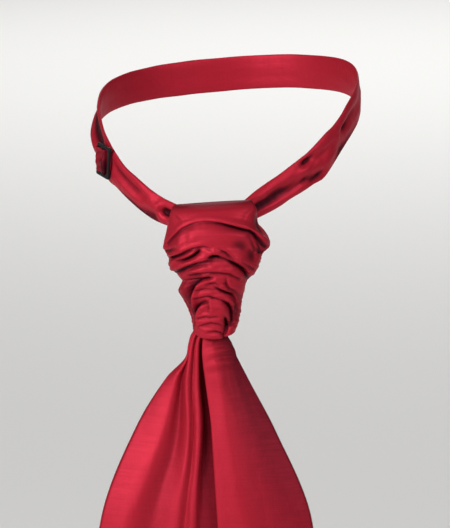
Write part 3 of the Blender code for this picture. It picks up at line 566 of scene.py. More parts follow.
def crease_field(across, drop, creases):
    """Heights that creases give a cloth at each place, how far its folds roll, and the painted shade it gets
    along and below its creases.
    """
    height, roll_x, roll_d, shade_in_creases = np.zeros((4, len(across)))
    for above, below, line in creases:
        way_x, way_d, depth, side = np.zeros((4, len(across)))
        best = np.full_like(across, 1e9)
        for (x0, d0, depth0), (x1, d1, depth1) in zip(line, line[1:]):
            run_x = x1 - x0
            run_d = d1 - d0
            run = math.hypot(run_x, run_d)
            share = np.clip(((across - x0) * run_x + (drop - d0) * run_d) / run**2, 0, 1)
            to_x = x0 + share * run_x - across
            to_d = d0 + share * run_d - drop
            distance = np.hypot(to_x, to_d)
            nearer = distance < best
            best = np.where(nearer, distance, best)
            way_x = np.where(nearer, to_x, way_x)
            way_d = np.where(nearer, to_d, way_d)
            depth = np.where(nearer, depth0 + share * (depth1 - depth0), depth)
            turned = (run_x * to_d - run_d * to_x) / (run * np.maximum(distance, 0.05))
            side = np.where(nearer, turned, side)
        upper = smooth_step(0.5 + 0.5 * side)
        overhang = bell(best, above) - CREASE_LIP * bell(best - 2.6 * above, 1.6 * above)
        height -= depth * (upper * overhang + (1 - upper) * bell(best, below, 1.4))
        # Painted shade: dark along each crease and down its lower slope, more so the deeper the crease
        sloping = np.clip(0.3 + 0.14 * depth, 0, 1) * (1 - upper)
        near = bell(best, 0.8) + sloping * bell(best, below, 1.6)
        shade_in_creases = np.maximum(shade_in_creases, np.clip(depth / 2.4, 0, 1) ** 0.7 * np.clip(near, 0, 1))
        reach = depth * bell(best, 2.4 * above) * CREASE_ROLL
        reach = np.minimum(reach, best * CREASE_ROLL_LIMIT) * upper / np.maximum(best, 0.01)
        roll_x += way_x * reach
        roll_d += way_d * reach
    return height, roll_x, roll_d, shade_in_creases


def mesh_from(bm, name):
    """A mesh of what was built, which is let go of."""
    mesh = bpy.data.meshes.new(name)
    bm.to_mesh(mesh)
    bm.free()
    return mesh


def cloth_mesh(name, columns, rows, shape, cut):
    """A grid whose points are moved to their places on a cloth, with UVs in metres of its cut, and each
    point's painted shade.
    """
    bm = bmesh.new()
    bm.loops.layers.uv.new("cloth")
    fold_depth = bm.verts.layers.float.new("fold_depth")
    bmesh.ops.create_grid(bm, x_segments=columns, y_segments=rows, size=0.5, calc_uvs=True)
    flat = np.array([vert.co[:2] for vert in bm.verts]) + 0.5
    places, painted_shades = shape(flat[:, 0], flat[:, 1])
    # Each point keeps its painted shade, which darkens the silk in creases and hollows
    for vert, place, depth in zip(bm.verts, (places * MM).tolist(), painted_shades.tolist()):
        vert.co = place
        vert[fold_depth] = depth
    rim = [vert for vert in bm.verts if vert.is_boundary]
    bmesh.ops.remove_doubles(bm, verts=rim, dist=2e-6)
    bmesh.ops.recalc_face_normals(bm, faces=bm.faces)
    mesh = mesh_from(bm, name)
    uvs = np.empty(len(mesh.loops) * 2)
    mesh.uv_layers["cloth"].data.foreach_get("uv", uvs)
    mesh.uv_layers["cloth"].data.foreach_set("uv", uvs * np.tile(cut, len(mesh.loops)))
    mesh.shade_smooth()
    return mesh


def add_object(name, data):
    """Links a new object of a mesh, light or camera to the scene."""
    item = bpy.data.objects.new(name, data)
    bpy.context.scene.collection.objects.link(item)
    return item


def add_piece(name, mesh, material):
    """Links a finished piece, which rides with the whole object."""
    piece = add_object(name, mesh)
    mesh.materials.append(material)
    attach(piece, "root")
    return piece


# Materials


def feed(tree, node, inputs):
    """Gives a node's inputs their plain values, or links them to the sockets that feed them."""
    for name, value in inputs.items():
        if isinstance(value, bpy.types.NodeSocket):
            tree.links.new(value, node.inputs[name])
        else:
            node.inputs[name].default_value = value


def add_node(tree, kind, inputs=None, **settings):
    """A shader node with its settings and inputs."""
    node = tree.nodes.new("ShaderNode" + kind)
    for name, value in settings.items():
        setattr(node, name, value)
    feed(tree, node, inputs or {})
    return node


def math_node(tree, operation, *values):
    """A math node with sockets or numbers as its inputs, as the socket that it gives."""
    node = add_node(tree, "Math", dict(enumerate(values)), operation=operation)
    return node.outputs[0]


def new_group(name, inputs, outputs):
    """A node group with its inputs and their defaults, its outputs, and its two end nodes."""
    group = bpy.data.node_groups.new(name, "ShaderNodeTree")
    for socket_name, (kind, default) in inputs.items():
        socket = group.interface.new_socket(socket_name, in_out="INPUT", socket_type="NodeSocket" + kind)
        socket.default_value = default
    for socket_name, kind in outputs.items():
        group.interface.new_socket(socket_name, in_out="OUTPUT", socket_type="NodeSocket" + kind)
    given = group.nodes.new("NodeGroupInput")
    return group, given.outputs, group.nodes.new("NodeGroupOutput")


def silk_weave_group():
    """Colour, roughness and relief of satin threads, with their slubs, in metres of the cloth; the colour is
    mixed towards a painted shade colour by a painted shade mask.
    """
    name = "silk weave"
    if name in bpy.data.node_groups:
        return bpy.data.node_groups[name]
    inputs = {
        "Silk Colour": ("Color", (0.4, 0.012, 0.04, 1)),
        "Fold Colour": ("Color", (0.1, 0.002, 0.012, 1)),
        "Fold Mask": ("Float", 0.0),
        "Roughness": ("Float", 0.4),
        "Threads Per Metre": ("Float", 4500.0),
        "Slub": ("Float", 0.3),
    }
    outputs = {"Colour": "Color", "Gloss Roughness": "Float", "Relief": "Float"}
    group, given, result = new_group(name, inputs, outputs)
    cloth = add_node(group, "UVMap", uv_map="cloth")
    across_down = add_node(group, "SeparateXYZ", {0: cloth.outputs["UV"]})
    across = across_down.outputs["X"]
    down = across_down.outputs["Y"]
    warp = math_node(group, "MULTIPLY", across, given["Threads Per Metre"])
    weft = math_node(group, "MULTIPLY", down, given["Threads Per Metre"])
    # A satin's floats step aside by two threads at each weft, five to the repeat
    stepped = math_node(group, "MULTIPLY_ADD", weft, 0.4, warp)
    float_wave = math_node(group, "SINE", math_node(group, "MULTIPLY", stepped, TURN / 2))
    thread_wave = math_node(group, "SINE", math_node(group, "MULTIPLY", warp, TURN))
    threads = math_node(group, "MULTIPLY", thread_wave, 0.2)
    weave = math_node(group, "MULTIPLY_ADD", float_wave, 0.3, threads)
    streak_x = math_node(group, "MULTIPLY", across, 60.0)
    streak_y = math_node(group, "MULTIPLY", down, 900.0)
    place = add_node(group, "CombineXYZ", {"X": streak_x, "Y": streak_y})
    streak = add_node(group, "TexNoise", {"Scale": 1.0, "Detail": 3.0, "Vector": place.outputs[0]})
    uneven = math_node(group, "SUBTRACT", streak.outputs["Fac"], 0.5)
    slub = math_node(group, "MULTIPLY", uneven, given["Slub"])
    # Painted shade: the mask, with the slubs' streaks added, mixes the silk colour towards the dark painted
    # shade colour
    shade_and_slub = math_node(group, "ADD", given["Fold Mask"], slub)
    colours = {"Factor": shade_and_slub, "A": given["Silk Colour"], "B": given["Fold Colour"]}
    mix = add_node(group, "Mix", colours, data_type="RGBA", clamp_factor=True)
    rough = math_node(group, "MULTIPLY_ADD", slub, 0.5, given["Roughness"])
    relief = math_node(group, "ADD", weave, math_node(group, "MULTIPLY", slub, 1.5))
    feed(group, result, {"Colour": mix.outputs["Result"], "Gloss Roughness": rough, "Relief": relief})
    return group


def crinkle_group():
    """The shallow, soft crinkles of handled silk, as a relief on object coordinates."""
    name = "silk crinkle"
    if name in bpy.data.node_groups:
        return bpy.data.node_groups[name]
    inputs = {"Scale": ("Float", 90.0), "Stretch": ("Vector", (0.35, 1.0, 1.0))}
    group, given, result = new_group(name, inputs, {"Relief": "Float"})
    place = add_node(group, "TexCoord").outputs["Object"]
    stretched = add_node(group, "VectorMath", {0: place, 1: given["Stretch"]}, operation="MULTIPLY")
    ridge = add_node(group, "TexNoise", {
        "Vector": stretched.outputs[0],
        "Scale": given["Scale"],
        "Detail": 4.0,
        "Roughness": 0.55,
        "Distortion": 0.6,
    })
    feed(group, result, {"Relief": ridge.outputs["Fac"]})
    return group


def new_material(name):
    """A material, its node tree and its shader."""
    material = bpy.data.materials.new(name)
    material.use_nodes = True
    return material, material.node_tree, material.node_tree.nodes["Principled BSDF"]


def silk_material(name, crinkle_scale, stretch, crinkle_height):
    """Burgundy silk satin with its weave, slubs and crinkles, and painted shade in its creases and hollows.
    """
    silk = bpy.context.scene.cravat_silk
    material, tree, shader = new_material(name)
    # Painted shade: each point's painted crease shade darkens the silk towards the crease shade colour
    depth = add_node(tree, "Attribute", attribute_name="fold_depth")
    weave = add_node(tree, "Group", node_tree=silk_weave_group())
    feed(tree, weave, {
        "Silk Colour": silk.colour,
        "Fold Colour": silk.crease_shade_colour,
        "Fold Mask": depth.outputs["Fac"],
        "Roughness": silk.roughness,
        "Threads Per Metre": 1 / silk.thread_pitch,
        "Slub": silk.slub,
    })
    crinkle = add_node(tree, "Group", node_tree=crinkle_group())
    feed(tree, crinkle, {"Scale": crinkle_scale, "Stretch": stretch})
    soft = add_node(tree, "Bump", {"Strength": 1.0, "Distance": crinkle_height})
    fine = add_node(tree, "Bump", {"Strength": 0.5, "Distance": silk.thread_pitch * 0.25})
    feed(tree, soft, {"Height": crinkle.outputs["Relief"]})
    feed(tree, fine, {"Height": weave.outputs["Relief"], "Normal": soft.outputs["Normal"]})
    feed(tree, shader, {
        "Base Color": weave.outputs["Colour"],
        "Roughness": weave.outputs["Gloss Roughness"],
        "Normal": fine.outputs["Normal"],
        "Metallic": silk.metallic,
        "Specular IOR Level": silk.gloss,
        "Specular Tint": silk.gloss_colour,
    })
    return material


def slide_material():
    """Black enamel, rubbed a little along its edges."""
    enamel = bpy.context.scene.cravat_slide.colour
    material, tree, shader = new_material("black enamelled slide")
    place = add_node(tree, "TexCoord").outputs["Object"]
    mottle = add_node(tree, "TexNoise", {"Scale": 900.0, "Detail": 4.0, "Vector": place}).outputs["Fac"]
    edge = add_node(tree, "NewGeometry").outputs["Pointiness"]
    rub = add_node(tree, "ValToRGB", {"Fac": edge})
    plain, rubbed = rub.color_ramp.elements
    plain.position = 0.52
    plain.color = enamel
    rubbed.position = 0.62
    rubbed.color = [value * 1.8 for value in enamel[:3]] + [1]
    bump = add_node(tree, "Bump", {"Strength": 0.25, "Distance": 0.00003, "Height": mottle})
    feed(tree, shader, {
        "Base Color": rub.outputs["Color"],
        "Roughness": math_node(tree, "MULTIPLY_ADD", mottle, 0.25, 0.32),
        "Normal": bump.outputs["Normal"],
        "Specular IOR Level": 0.2,
        "Coat Weight": 0.03,
    })
    return material


def add_cloth(name, grid, shape, cut, silk, wall=None):
    """A piece of silk in its shape, given its thickness inward if the shape is its outer face only."""
    mesh = cloth_mesh(name, *grid, shape, cut)
    piece = add_piece(name, mesh, silk_material(*silk))
    if wall:
        thickness = piece.modifiers.new("cloth thickness", "SOLIDIFY")
        thickness.thickness = wall
        thickness.offset = -1
        thickness.use_rim = True
    return piece


# Neck band


def neckline(angle):
    """The middle of the band at each angle round the neck, in millimetres."""
    x = NECK_HALF_WIDTH * np.sin(angle)
    nearest = np.angle(np.exp(1j * angle))
    pull = THROAT_PULL * bell(nearest, THROAT_REACH)
    y = -NECK_HALF_DEPTH * np.cos(angle) - pull
    frontness = (1 + np.cos(angle)) / 2
    z = -NECKLINE_DROP * frontness**NECKLINE_POWER + x * math.tan(NECKLINE_TILT)
    return np.stack([x, y, z], axis=-1)


def unit(vectors):
    """The same directions with a length of one."""
    return vectors / np.linalg.norm(vectors, axis=-1, keepdims=True)


def neckline_frame(angle):
    """Directions along the band, out of its face and up across its width."""
    small = math.radians(0.5)
    along = unit(neckline(angle + small) - neckline(angle - small))
    outward = unit(np.stack([along[..., 1], -along[..., 0], np.zeros_like(angle)], axis=-1))
    return along, outward, np.cross(outward, along)


def band_length(ends):
    """Length of the neckline in millimetres between two angles."""
    angles = np.radians(np.linspace(ends[0], ends[1], 400))
    return np.linalg.norm(np.diff(neckline(angles), axis=0), axis=1).sum()


def strap_shape(strap, seed):
    """Gives the places on a strap, round its flattened tube and along it."""
    ends, relief, pits, edges, lean = strap

    def shape(u, v):
        degrees = ends[0] + (ends[1] - ends[0]) * v
        angle = np.radians(degrees)
        width, thickness, lift = row_at(BAND_STATIONS, degrees).T
        share = -np.cos(TURN * u)
        outer = np.sin(TURN * u) >= 0
        round_edge = np.sqrt(np.clip(1 - np.abs(share) ** STRAP_EDGE_POWER, 0, 1))
        _, outward, across = neckline_frame(angle)
        along = angle * MEAN_NECK_RADIUS
        wander = ripple(STRAP_WANDER[0], seed + 3, along / STRAP_WANDER[1], 0, 0)
        height = table_at(relief, RELIEF_SHARES, degrees, share + wander)
        for pit_angle, pit_share, angle_reach, share_reach, rise in pits:
            height += rise * bell(degrees - pit_angle, angle_reach) * bell(share - pit_share, share_reach)
        for rise, step, wave, waves, apart in STRAP_RIPPLES:
            height += ripple(rise, seed + step, along / wave, share * waves, outer * apart)
        # Painted shade in the troughs of the strap's outer face, darker where the relief sinks deeper
        shade = STRAP_SHADE * outer * smooth_step((-height - STRAP_SHADE_FROM) / STRAP_SHADE_REACH)
        height = np.where(outer, height, -STRAP_INNER_RELIEF * height) * round_edge
        lift = lift + ripple(STRAP_LIFT[0], seed + 2, along / STRAP_LIFT[1], 0, 0)
        below, above = row_at(edges, degrees).T
        reach = width / 2 + np.where(share > 0, above, below) * np.abs(share)
        half = thickness / 2
        from_middle = half * round_edge + np.maximum(height, -1.5 * half)
        outward_by = np.where(outer, 1, -1) * from_middle + row_at(lean, degrees)[:, 0] * share
        across_by = lift + share * reach
        places = neckline(angle) + across * across_by[:, None] + outward * outward_by[:, None]
        return places, shade

    return shape


LONG_STRAP = (LONG_STRAP_ENDS, LONG_STRAP_RELIEF, LONG_STRAP_PITS, LONG_STRAP_EDGES, LONG_STRAP_LEAN)
SHORT_STRAP = (SHORT_STRAP_ENDS, SHORT_STRAP_RELIEF, SHORT_STRAP_PITS, SHORT_STRAP_EDGES, SHORT_STRAP_LEAN)


def make_strap(name, node, strap, seed):
    """Makes one strap of the band, from its end in the knot to its end at the slide."""
    cloth = bpy.context.scene.cravat_cloth
    length = band_length(strap[0])
    width = cloth.strap_cut
    grid = (STRAP_SIDES, round(length / STRAP_ROW_LENGTH))
    silk = (name + " silk", *STRAP_CRINKLES)
    piece = add_cloth(name, grid, strap_shape(strap, seed), (width, length * MM), silk, cloth.strap_wall)
    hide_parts(node)
    return piece


# Adjuster slide


def slide_matrix():
    """Places a flat piece on the strap: its X along the strap, its Y across, its Z outward."""
    along, outward, across = neckline_frame(np.array(SLIDE_ANGLE))
    middle = neckline(np.array(SLIDE_ANGLE)) + outward * SLIDE_LIFT + across * SLIDE_SHIFT
    rotation = Matrix((along, across, outward)).transposed()
    place = Matrix.Translation(Vector(middle) * MM) @ rotation.to_4x4()
    return place @ Matrix.Rotation(SLIDE_TURN, 4, "Z") @ Matrix.Diagonal((MM, MM, MM, 1))


def round_edges(bm, edges, radius, segments):
    """Rounds some edges to a radius in millimetres, in so many steps."""
    bmesh.ops.bevel(
        bm, geom=edges, offset=radius, offset_type="OFFSET", segments=segments, profile=0.5,
        affect="EDGES", material=-1,
    )


def make_slide_mesh():
    """A grid of five by three cells without its two slots, given its thickness and round edges."""
    edge_round = bpy.context.scene.cravat_slide.edge_round / MM
    bm = bmesh.new()
    bmesh.ops.create_grid(bm, x_segments=5, y_segments=3, size=0.5)
    half_length = SLIDE_LENGTH / 2
    half_width = SLIDE_WIDTH / 2
    bar = SLIDE_BAR / 2
    inner_length = half_length - SLIDE_BAR
    inner_width = half_width - SLIDE_BAR
    columns = (-half_length, -inner_length, -bar, bar, inner_length, half_length)
    rows = (-half_width, -inner_width, inner_width, half_width)
    for vert in bm.verts:
        column = round((vert.co.x + 0.5) * 5)
        row = round((vert.co.y + 0.5) * 3)
        vert.co = (columns[column], rows[row], -SLIDE_THICKNESS / 2)
    slots = []
    for face in bm.faces:
        middle = face.calc_center_median()
        if abs(middle.y) < 1 and bar < abs(middle.x) < inner_length:
            slots.append(face)
    bmesh.ops.delete(bm, geom=slots, context="FACES")
    raised = bmesh.ops.extrude_face_region(bm, geom=list(bm.faces))
    top = [item for item in raised["geom"] if isinstance(item, bmesh.types.BMVert)]
    bmesh.ops.translate(bm, verts=top, vec=(0, 0, SLIDE_THICKNESS))
    bmesh.ops.recalc_face_normals(bm, faces=bm.faces)
    sharp = [edge for edge in bm.edges if edge.calc_face_angle(0) > 1]
    corners = [edge for edge in sharp if abs(edge.verts[0].co.z - edge.verts[1].co.z) > 0.1]
    round_edges(bm, corners, SLIDE_CORNER, 4)
    sharp = [edge for edge in bm.edges if edge.calc_face_angle(0) > 1]
    round_edges(bm, sharp, edge_round, 3)
    bmesh.ops.transform(bm, matrix=slide_matrix(), verts=bm.verts)
    bmesh.ops.recalc_face_normals(bm, faces=bm.faces)
    mesh = mesh_from(bm, "buckle_slide")
    mesh.shade_smooth()
    mesh.set_sharp_from_angle(angle=math.radians(40))
    return mesh


def loop_path():
    """The turned end's outer face along the strap: from its rear foot over two bars to its front foot."""
    rear = -SLIDE_LENGTH / 2 - SEAM - LOOP_ROOM
    front = SLIDE_BAR / 2 + SEAM + LOOP_ROOM
    foot = -SLIDE_THICKNESS / 2 - 0.5
    crown = SLIDE_THICKNESS / 2 + SEAM + 0.7
    return np.array([
        (rear - 0.9, foot - 0.2),
        (rear - 0.1, foot + 0.6),
        (rear + 0.1, crown - 1.3),
        (rear + 0.9, crown - 0.35),
        (rear + 2.4, crown),
        (rear + 4.6, crown - 0.5),
        (front - 3.4, crown - 0.4),
        (front - 1.7, crown + 0.15),
        (front - 0.6, crown - 0.3),
        (front - 0.1, crown - 1.2),
        (front + 0.1, foot + 0.6),
        (front + 0.9, foot - 0.2),
    ])


def loop_runs():
    """Lengths of the turned end's path from each of its points to the next."""
    return np.hypot(*np.diff(loop_path(), axis=0).T)


def loop_shape(u, v):
    """Places on the strap's turned end: a wide arch over the rear and middle bars, its feet on the strap."""
    runs = loop_runs()
    keys = np.concatenate([[0], np.cumsum(runs)]) / runs.sum()
    x, z = curve_through(keys, loop_path(), v).T
    share = 2 * u - 1
    top = np.sin(np.pi * np.clip(v, 0, 1)) ** 0.7
    pucker = 0.28 * np.cos(share * 5.2 + 0.7) + 0.16 * np.cos(share * 11 - x * 0.5)
    z = z + top * pucker - 0.5 * top * np.abs(share) ** 8
    y = share * (LOOP_WIDTH / 2 + 0.25) * (1 - 0.02 * top)
    rearward = smooth_step(0.5 - x / SLIDE_LENGTH)
    x = x + 0.9 * rearward * (1 - share)
    places = np.stack([x, y, z, np.ones_like(x)], axis=-1) @ np.array(slide_matrix()).T
    # Painted shade: darker in the pucker's troughs, towards the lower side and towards the front bar
    low = np.clip(0.45 - 0.5 * (pucker + 0.2), 0, 1) * top
    shade = 0.2 + 0.3 * smooth_step((0.7 - share) / 1.2) + 0.45 * smooth_step((x + 3.0) / 4)
    return places[:, :3] / MM, np.maximum(low, shade)


# Ruched sleeve


def sleeve_base(drop, across, forward):
    """The sleeve's plain surface at each drop below its top, and the direction out of it."""
    fall_right, fall_left, right, left, front, back = row_at(KNOT_SECTIONS, drop).T
    half_width = np.where(across > 0, left, right)
    half_depth = np.where(forward > 0, front, back)
    fall = fall_right + (fall_left - fall_right) * smooth_step(0.5 + 0.5 * across)
    power = 2 / KNOT_SQUARENESS
    x = half_width * np.sign(across) * np.abs(across) ** power
    axis_y = KNOT_AXIS_TOP + KNOT_AXIS_LEAN * drop / KNOT_LENGTH
    y = axis_y - half_depth * np.sign(forward) * np.abs(forward) ** power
    z = KNOT_TOP - drop - fall * np.abs(across) ** KNOT_FALL_POWER
    tilt = math.tan(NECKLINE_TILT) * (1 - smooth_step(drop / 60))
    outward = np.stack([across * half_depth, -forward * half_width, np.full_like(x, 1e-9)], axis=-1)
    return np.stack([x, y, z + x * tilt], axis=-1), unit(outward), KNOT_TOP - z


def sleeve_shape(u, v):
    """Places on the ruched sleeve, from its folded top down and in round its hem."""
    drop = KNOT_LENGTH * np.clip(v / HEM_FROM, 0, 1) ** SLEEVE_ROW_POWER
    hem = np.clip((v - HEM_FROM) / (1 - HEM_FROM), 0, 1)
    spread = TURN * (u - 0.5)
    across = np.sign(np.sin(spread)) * np.abs(np.sin(spread)) ** SLEEVE_COLUMN_POWER
    forward = np.sign(np.cos(spread)) * np.sqrt(np.clip(1 - across**2, 0, 1))
    places, outward, low = sleeve_base(drop, across, forward)
    is_front = forward > 0
    facing = np.where(is_front, 1.0, -1.0)
    face_across = facing * places[:, 0]
    front = crease_field(face_across, low, FRONT_CREASES)
    back = crease_field(face_across, low, BACK_CREASES)
    height, roll_x, roll_d, shade = np.where(is_front, front, back)
    height = height * (1 - 0.4 * np.abs(across) ** 6)
    degrees = np.degrees(np.arctan2(across, forward))
    for angle, level, angle_reach, level_reach, rise in SWELLS:
        swell = rise * bell(degrees - angle, angle_reach) * bell(drop - level, level_reach)
        height += swell
        # Painted shade in the hollows
        shade = np.maximum(shade, smooth_step(-SWELL_SHADE * swell))
    lively = between(low, *RIPPLE_DROPS)
    lively = RIPPLE_UPPER_SHARE + (1 - RIPPLE_UPPER_SHARE) * lively
    for rise, seed, wave_across, wave_down in SLEEVE_RIPPLES:
        place = (face_across / wave_across, drop / wave_down, is_front * RIPPLE_FACE_STEP)
        height += lively * ripple(rise, seed, *place)
    calm = smooth_step(drop / TOP_CALM_DROP)
    narrow = np.minimum(1.0, row_at(KNOT_SECTIONS, drop)[:, 4] / 10)
    to_front = CREASE_PUSH * (1 - np.abs(across) ** 4) * facing
    pushed = outward.copy()
    pushed[:, 1] -= to_front
    moved = places + unit(pushed) * (height * calm * narrow)[:, None]
    moved[:, 0] += facing * roll_x * smooth_step(np.abs(forward) / SIDE_SEAM_REACH) * calm
    moved[:, 2] -= roll_d * calm
    bend = np.clip(hem / HEM_BEND_SHARE, 0, 1) * math.pi
    rise = HEM_RISE * np.clip((hem - HEM_BEND_SHARE) / (1 - HEM_BEND_SHARE), 0, 1)
    moved -= outward * (HEM_RADIUS * (1 - np.cos(bend)))[:, None]
    moved[:, 2] += rise - HEM_RADIUS * np.sin(bend)
    # Painted shade: a little over all the sleeve, more along its folded top, and full on the turned hem
    painted_top_shade = TOP_SHADE + TOP_FOLD_SHADE * (1 - smooth_step(drop / TOP_FOLD_DROP))
    return moved, np.maximum(np.maximum(shade * calm, painted_top_shade), smooth_step(hem))


# Tail


def tail_lines_at(drop):
    """Place across and depth of each line down the cloth, for columns of drops."""
    across, depth = np.hsplit(np.array(list(TAIL_LINES.values())), 2)
    squeeze = row_at(TAIL_SQUEEZE, drop)
    across = curve_through(TAIL_LINE_DROPS, across.T, drop) * squeeze
    depth = curve_through(TAIL_LINE_DROPS, depth.T, drop) * (2 - squeeze)
    return across, depth


def tail_section(drop, at):
    """Points of the folded sheet, for rows of drops and columns of shares across it."""
    across, depth = tail_lines_at(drop)
    keys = np.arange(len(TAIL_LINES))
    x = curve_through(keys, across.T, at * keys[-1]).T
    y = curve_through(keys, depth.T, at * keys[-1]).T
    return x, -(y + row_at(TAIL_LEVELS, drop))


def tail_shape(u, v):
    """Places on the tail: its front from the right edge to the left, then its back."""
    half = bpy.context.scene.cravat_cloth.tail_thickness / MM / 2
    rows, row_of = np.unique(np.round(v, 6), return_inverse=True)
    drops = TAIL_TOP_DROP + (TAIL_SHOULDER_DROP - TAIL_TOP_DROP) * rows**TAIL_ROW_POWER
    folded = 1 - np.abs(2 * u - 1)
    columns, column_of = np.unique(np.round(folded, 6), return_inverse=True)
    x, y = tail_section(drops, columns)
    run_x = np.gradient(x, axis=1)
    run_y = np.gradient(y, axis=1)
    run = np.hypot(run_x, run_y)
    sheet = (x, y, run_y / run, -run_x / run)
    x, y, normal_x, normal_y = (values[row_of, column_of] for values in sheet)
    drop = drops[row_of]
    lines = tail_lines_at(drops)[0]
    middle = (lines[:, 0] + lines[:, -1])[row_of] / 2
    half_width = (lines[:, -1] - lines[:, 0])[row_of] / 2
    share = np.clip((x - middle) / half_width, -1, 1)
    side = np.where(u <= 0.5, 1.0, -1.0)
    edge = np.clip(np.minimum(folded, 1 - folded) / TAIL_EDGE_SHARE, 0, 1)
    end = np.clip((1 - v) / TAIL_END_SHARE, 0, 1)
    round_edge = np.sqrt(np.clip(1 - (1 - edge) ** 2, 0, 1)) * end
    soft = np.zeros_like(x)
    for rise, seed, waves, wave_down, start, full in TAIL_RIPPLES:
        soft += ripple(rise, seed, folded * waves, drop / wave_down, 0) * between(drop, start, full)
    ruck_shade = np.zeros_like(x)
    for across_at, drop_at, across_reach, drop_reach, rise in TAIL_RUCKS:
        aside = x - across_at
        bowed = drop - drop_at - RUCK_BOW * aside**2
        ruck = rise * bell(aside, across_reach) * bell(bowed, drop_reach)
        soft += ruck
        ruck_shade = np.maximum(ruck_shade, -RUCK_SHADE * ruck)
    off = side * half * round_edge + soft
    mouth = between(drop, *TAIL_MOUTH_DROPS[:2]) * (1 - between(drop, *TAIL_MOUTH_DROPS[2:]))
    narrowing = (drop - TAIL_STRAIGHT_DROP) / (TAIL_SHOULDER_DROP - TAIL_STRAIGHT_DROP)
    pointed = (TAIL_TIP_DROP - TAIL_SHOULDER_DROP) * np.clip(narrowing, 0, 1)
    low = drop - TAIL_MOUTH_RISE * mouth * smooth_step(-share) + pointed * (1 - np.abs(share))
    places = np.stack([x + normal_x * off, y + normal_y * off, KNOT_TOP - low], axis=-1)
    # Painted shade: along the tail's lines and in the rucks' hollows on its front face, and just under the
    # knot all round
    keys = np.arange(len(TAIL_SHADE))
    shade = np.maximum(curve_through(keys, TAIL_SHADE, folded * keys[-1]), ruck_shade)
    strength = TAIL_SHADE_SHARE - TAIL_SHADE_LOSS * between(drop, *TAIL_SHADE_DROPS)
    shade = shade * strength * (side > 0)
    return places, np.maximum(shade, MOUTH_SHADE * between(drop, *MOUTH_SHADE_DROPS))


# Settings that a user would change


# Each kind of setting, from its label, what it does and its default


def colour_setting(name, description, default):
    return bpy.props.FloatVectorProperty(
        name=name, description=description, subtype="COLOR", size=4, min=0, max=1, default=default,
    )


def share_setting(name, description, default):
    return bpy.props.FloatProperty(name=name, description=description, min=0, max=1, default=default)


def length_setting(name, description, default):
    return bpy.props.FloatProperty(
        name=name, description=description, unit="LENGTH", min=0.00005, default=default,
    )


def cut_setting(name, description, default):
    return bpy.props.FloatVectorProperty(
        name=name, description=description, unit="LENGTH", size=2, default=default,
    )


def power_setting(name, description, default):
    return bpy.props.FloatProperty(name=name, description=description, unit="POWER", min=0, default=default)


class CRAVAT_PG_silk(bpy.types.PropertyGroup):
    """Colours of the silk and of its painted shade, its thread and its gloss"""

    colour: colour_setting("Silk colour", "Colour of the silk in the light", (0.405, 0.014, 0.029, 1))
    # Painted shade: the colour that creases, hollows and the turned hem are darkened towards
    crease_shade_colour: colour_setting(
        "Crease shade colour", "Colour of the silk deep in its creases", (0.022, 0.0008, 0.003, 1),
    )
    gloss_colour: colour_setting("Gloss colour", "Colour of the silk's highlights", (0.95, 0.32, 0.5, 1))
    thread_pitch: length_setting("Thread pitch", "Distance from one thread to the next", 0.00022)
    slub: share_setting("Slub", "How much thicker threads streak the cloth", 0.3)
    roughness: share_setting("Roughness", "Breadth of the satin's highlights", 0.45)
    metallic: share_setting("Coloured gloss", "How much of the gloss takes the silk's own colour", 0.3)
    gloss: share_setting("Gloss", "Strength of the satin's plain highlights", 0.28)


class CRAVAT_PG_cloth(bpy.types.PropertyGroup):
    """Sizes of the cloth pieces"""

    sleeve_cut: cut_setting(
        "Sleeve cut", "Width all round and length of the sleeve before it is gathered", (0.108, 0.098),
    )
    sleeve_wall: length_setting("Sleeve wall", "Thickness of the sleeve's doubled silk", 0.0006)
    strap_cut: length_setting("Strap cut", "Width of a strap's silk all round its tube", 0.037)
    strap_wall: length_setting("Strap wall", "Thickness of a strap's silk", 0.00035)
    tail_thickness: length_setting("Tail thickness", "Thickness of the tail's interlined silk", 0.0014)
    tail_cut: cut_setting("Tail cut", "Width and length of the tail's blade", (0.15, 0.295))


class CRAVAT_PG_slide(bpy.types.PropertyGroup):
    """Finish of the adjuster slide"""

    colour: colour_setting("Slide colour", "Colour of the slide's enamel", (0.006, 0.006, 0.007, 1))
    edge_round: length_setting("Edge round", "Radius of the slide's pressed edges", 0.00025)


class CRAVAT_PG_stage(bpy.types.PropertyGroup):
    """Floor, lights and their strength"""

    floor_colour: colour_setting("Floor colour", "Colour of the plain pale floor", (0.86, 0.855, 0.84, 1))
    key_power: power_setting("Key light", "Power of the large light at upper left", 28.8)
    high_power: power_setting("High light", "Power of the light high at right", 10.0)
    low_power: power_setting("Low light", "Power of the light low at left", 2.0)
    fill_power: power_setting("Fill light", "Power of the soft light at right and of the one behind", 1.2)
    floor_power: power_setting("Floor light", "Power of the wide light on the floor behind", 58.0)
    sky: share_setting("Room light", "Strength of the even light all round", 0.13)


# Operators


class CRAVAT_OT_straps(bpy.types.Operator):
    """Makes both straps of the neck band as flattened tubes of silk with their lengthwise folds"""

    bl_idname = "cravat.straps"
    bl_label = "Neck band straps"

    def execute(self, context):
        make_strap("band_strap_long", "neck_band_long", LONG_STRAP, 31)
        make_strap("band_strap_short", "neck_band_short", SHORT_STRAP, 41)
        return {"FINISHED"}


class CRAVAT_OT_slide(bpy.types.Operator):
    """Makes the black slide and the strap's turned end over its middle bar"""

    bl_idname = "cravat.slide"
    bl_label = "Slide and strap loop"

    def execute(self, context):
        slide = add_piece("buckle_slide", make_slide_mesh(), slide_material())
        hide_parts("adjuster_slide")
        length = loop_runs().sum() * MM
        cut = (LOOP_WIDTH * MM, length)
        loop = add_cloth("loop_over_bar", LOOP_GRID, loop_shape, cut, LOOP_SILK, LOOP_WALL * MM)
        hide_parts("strap_loop")
        return {"FINISHED"}


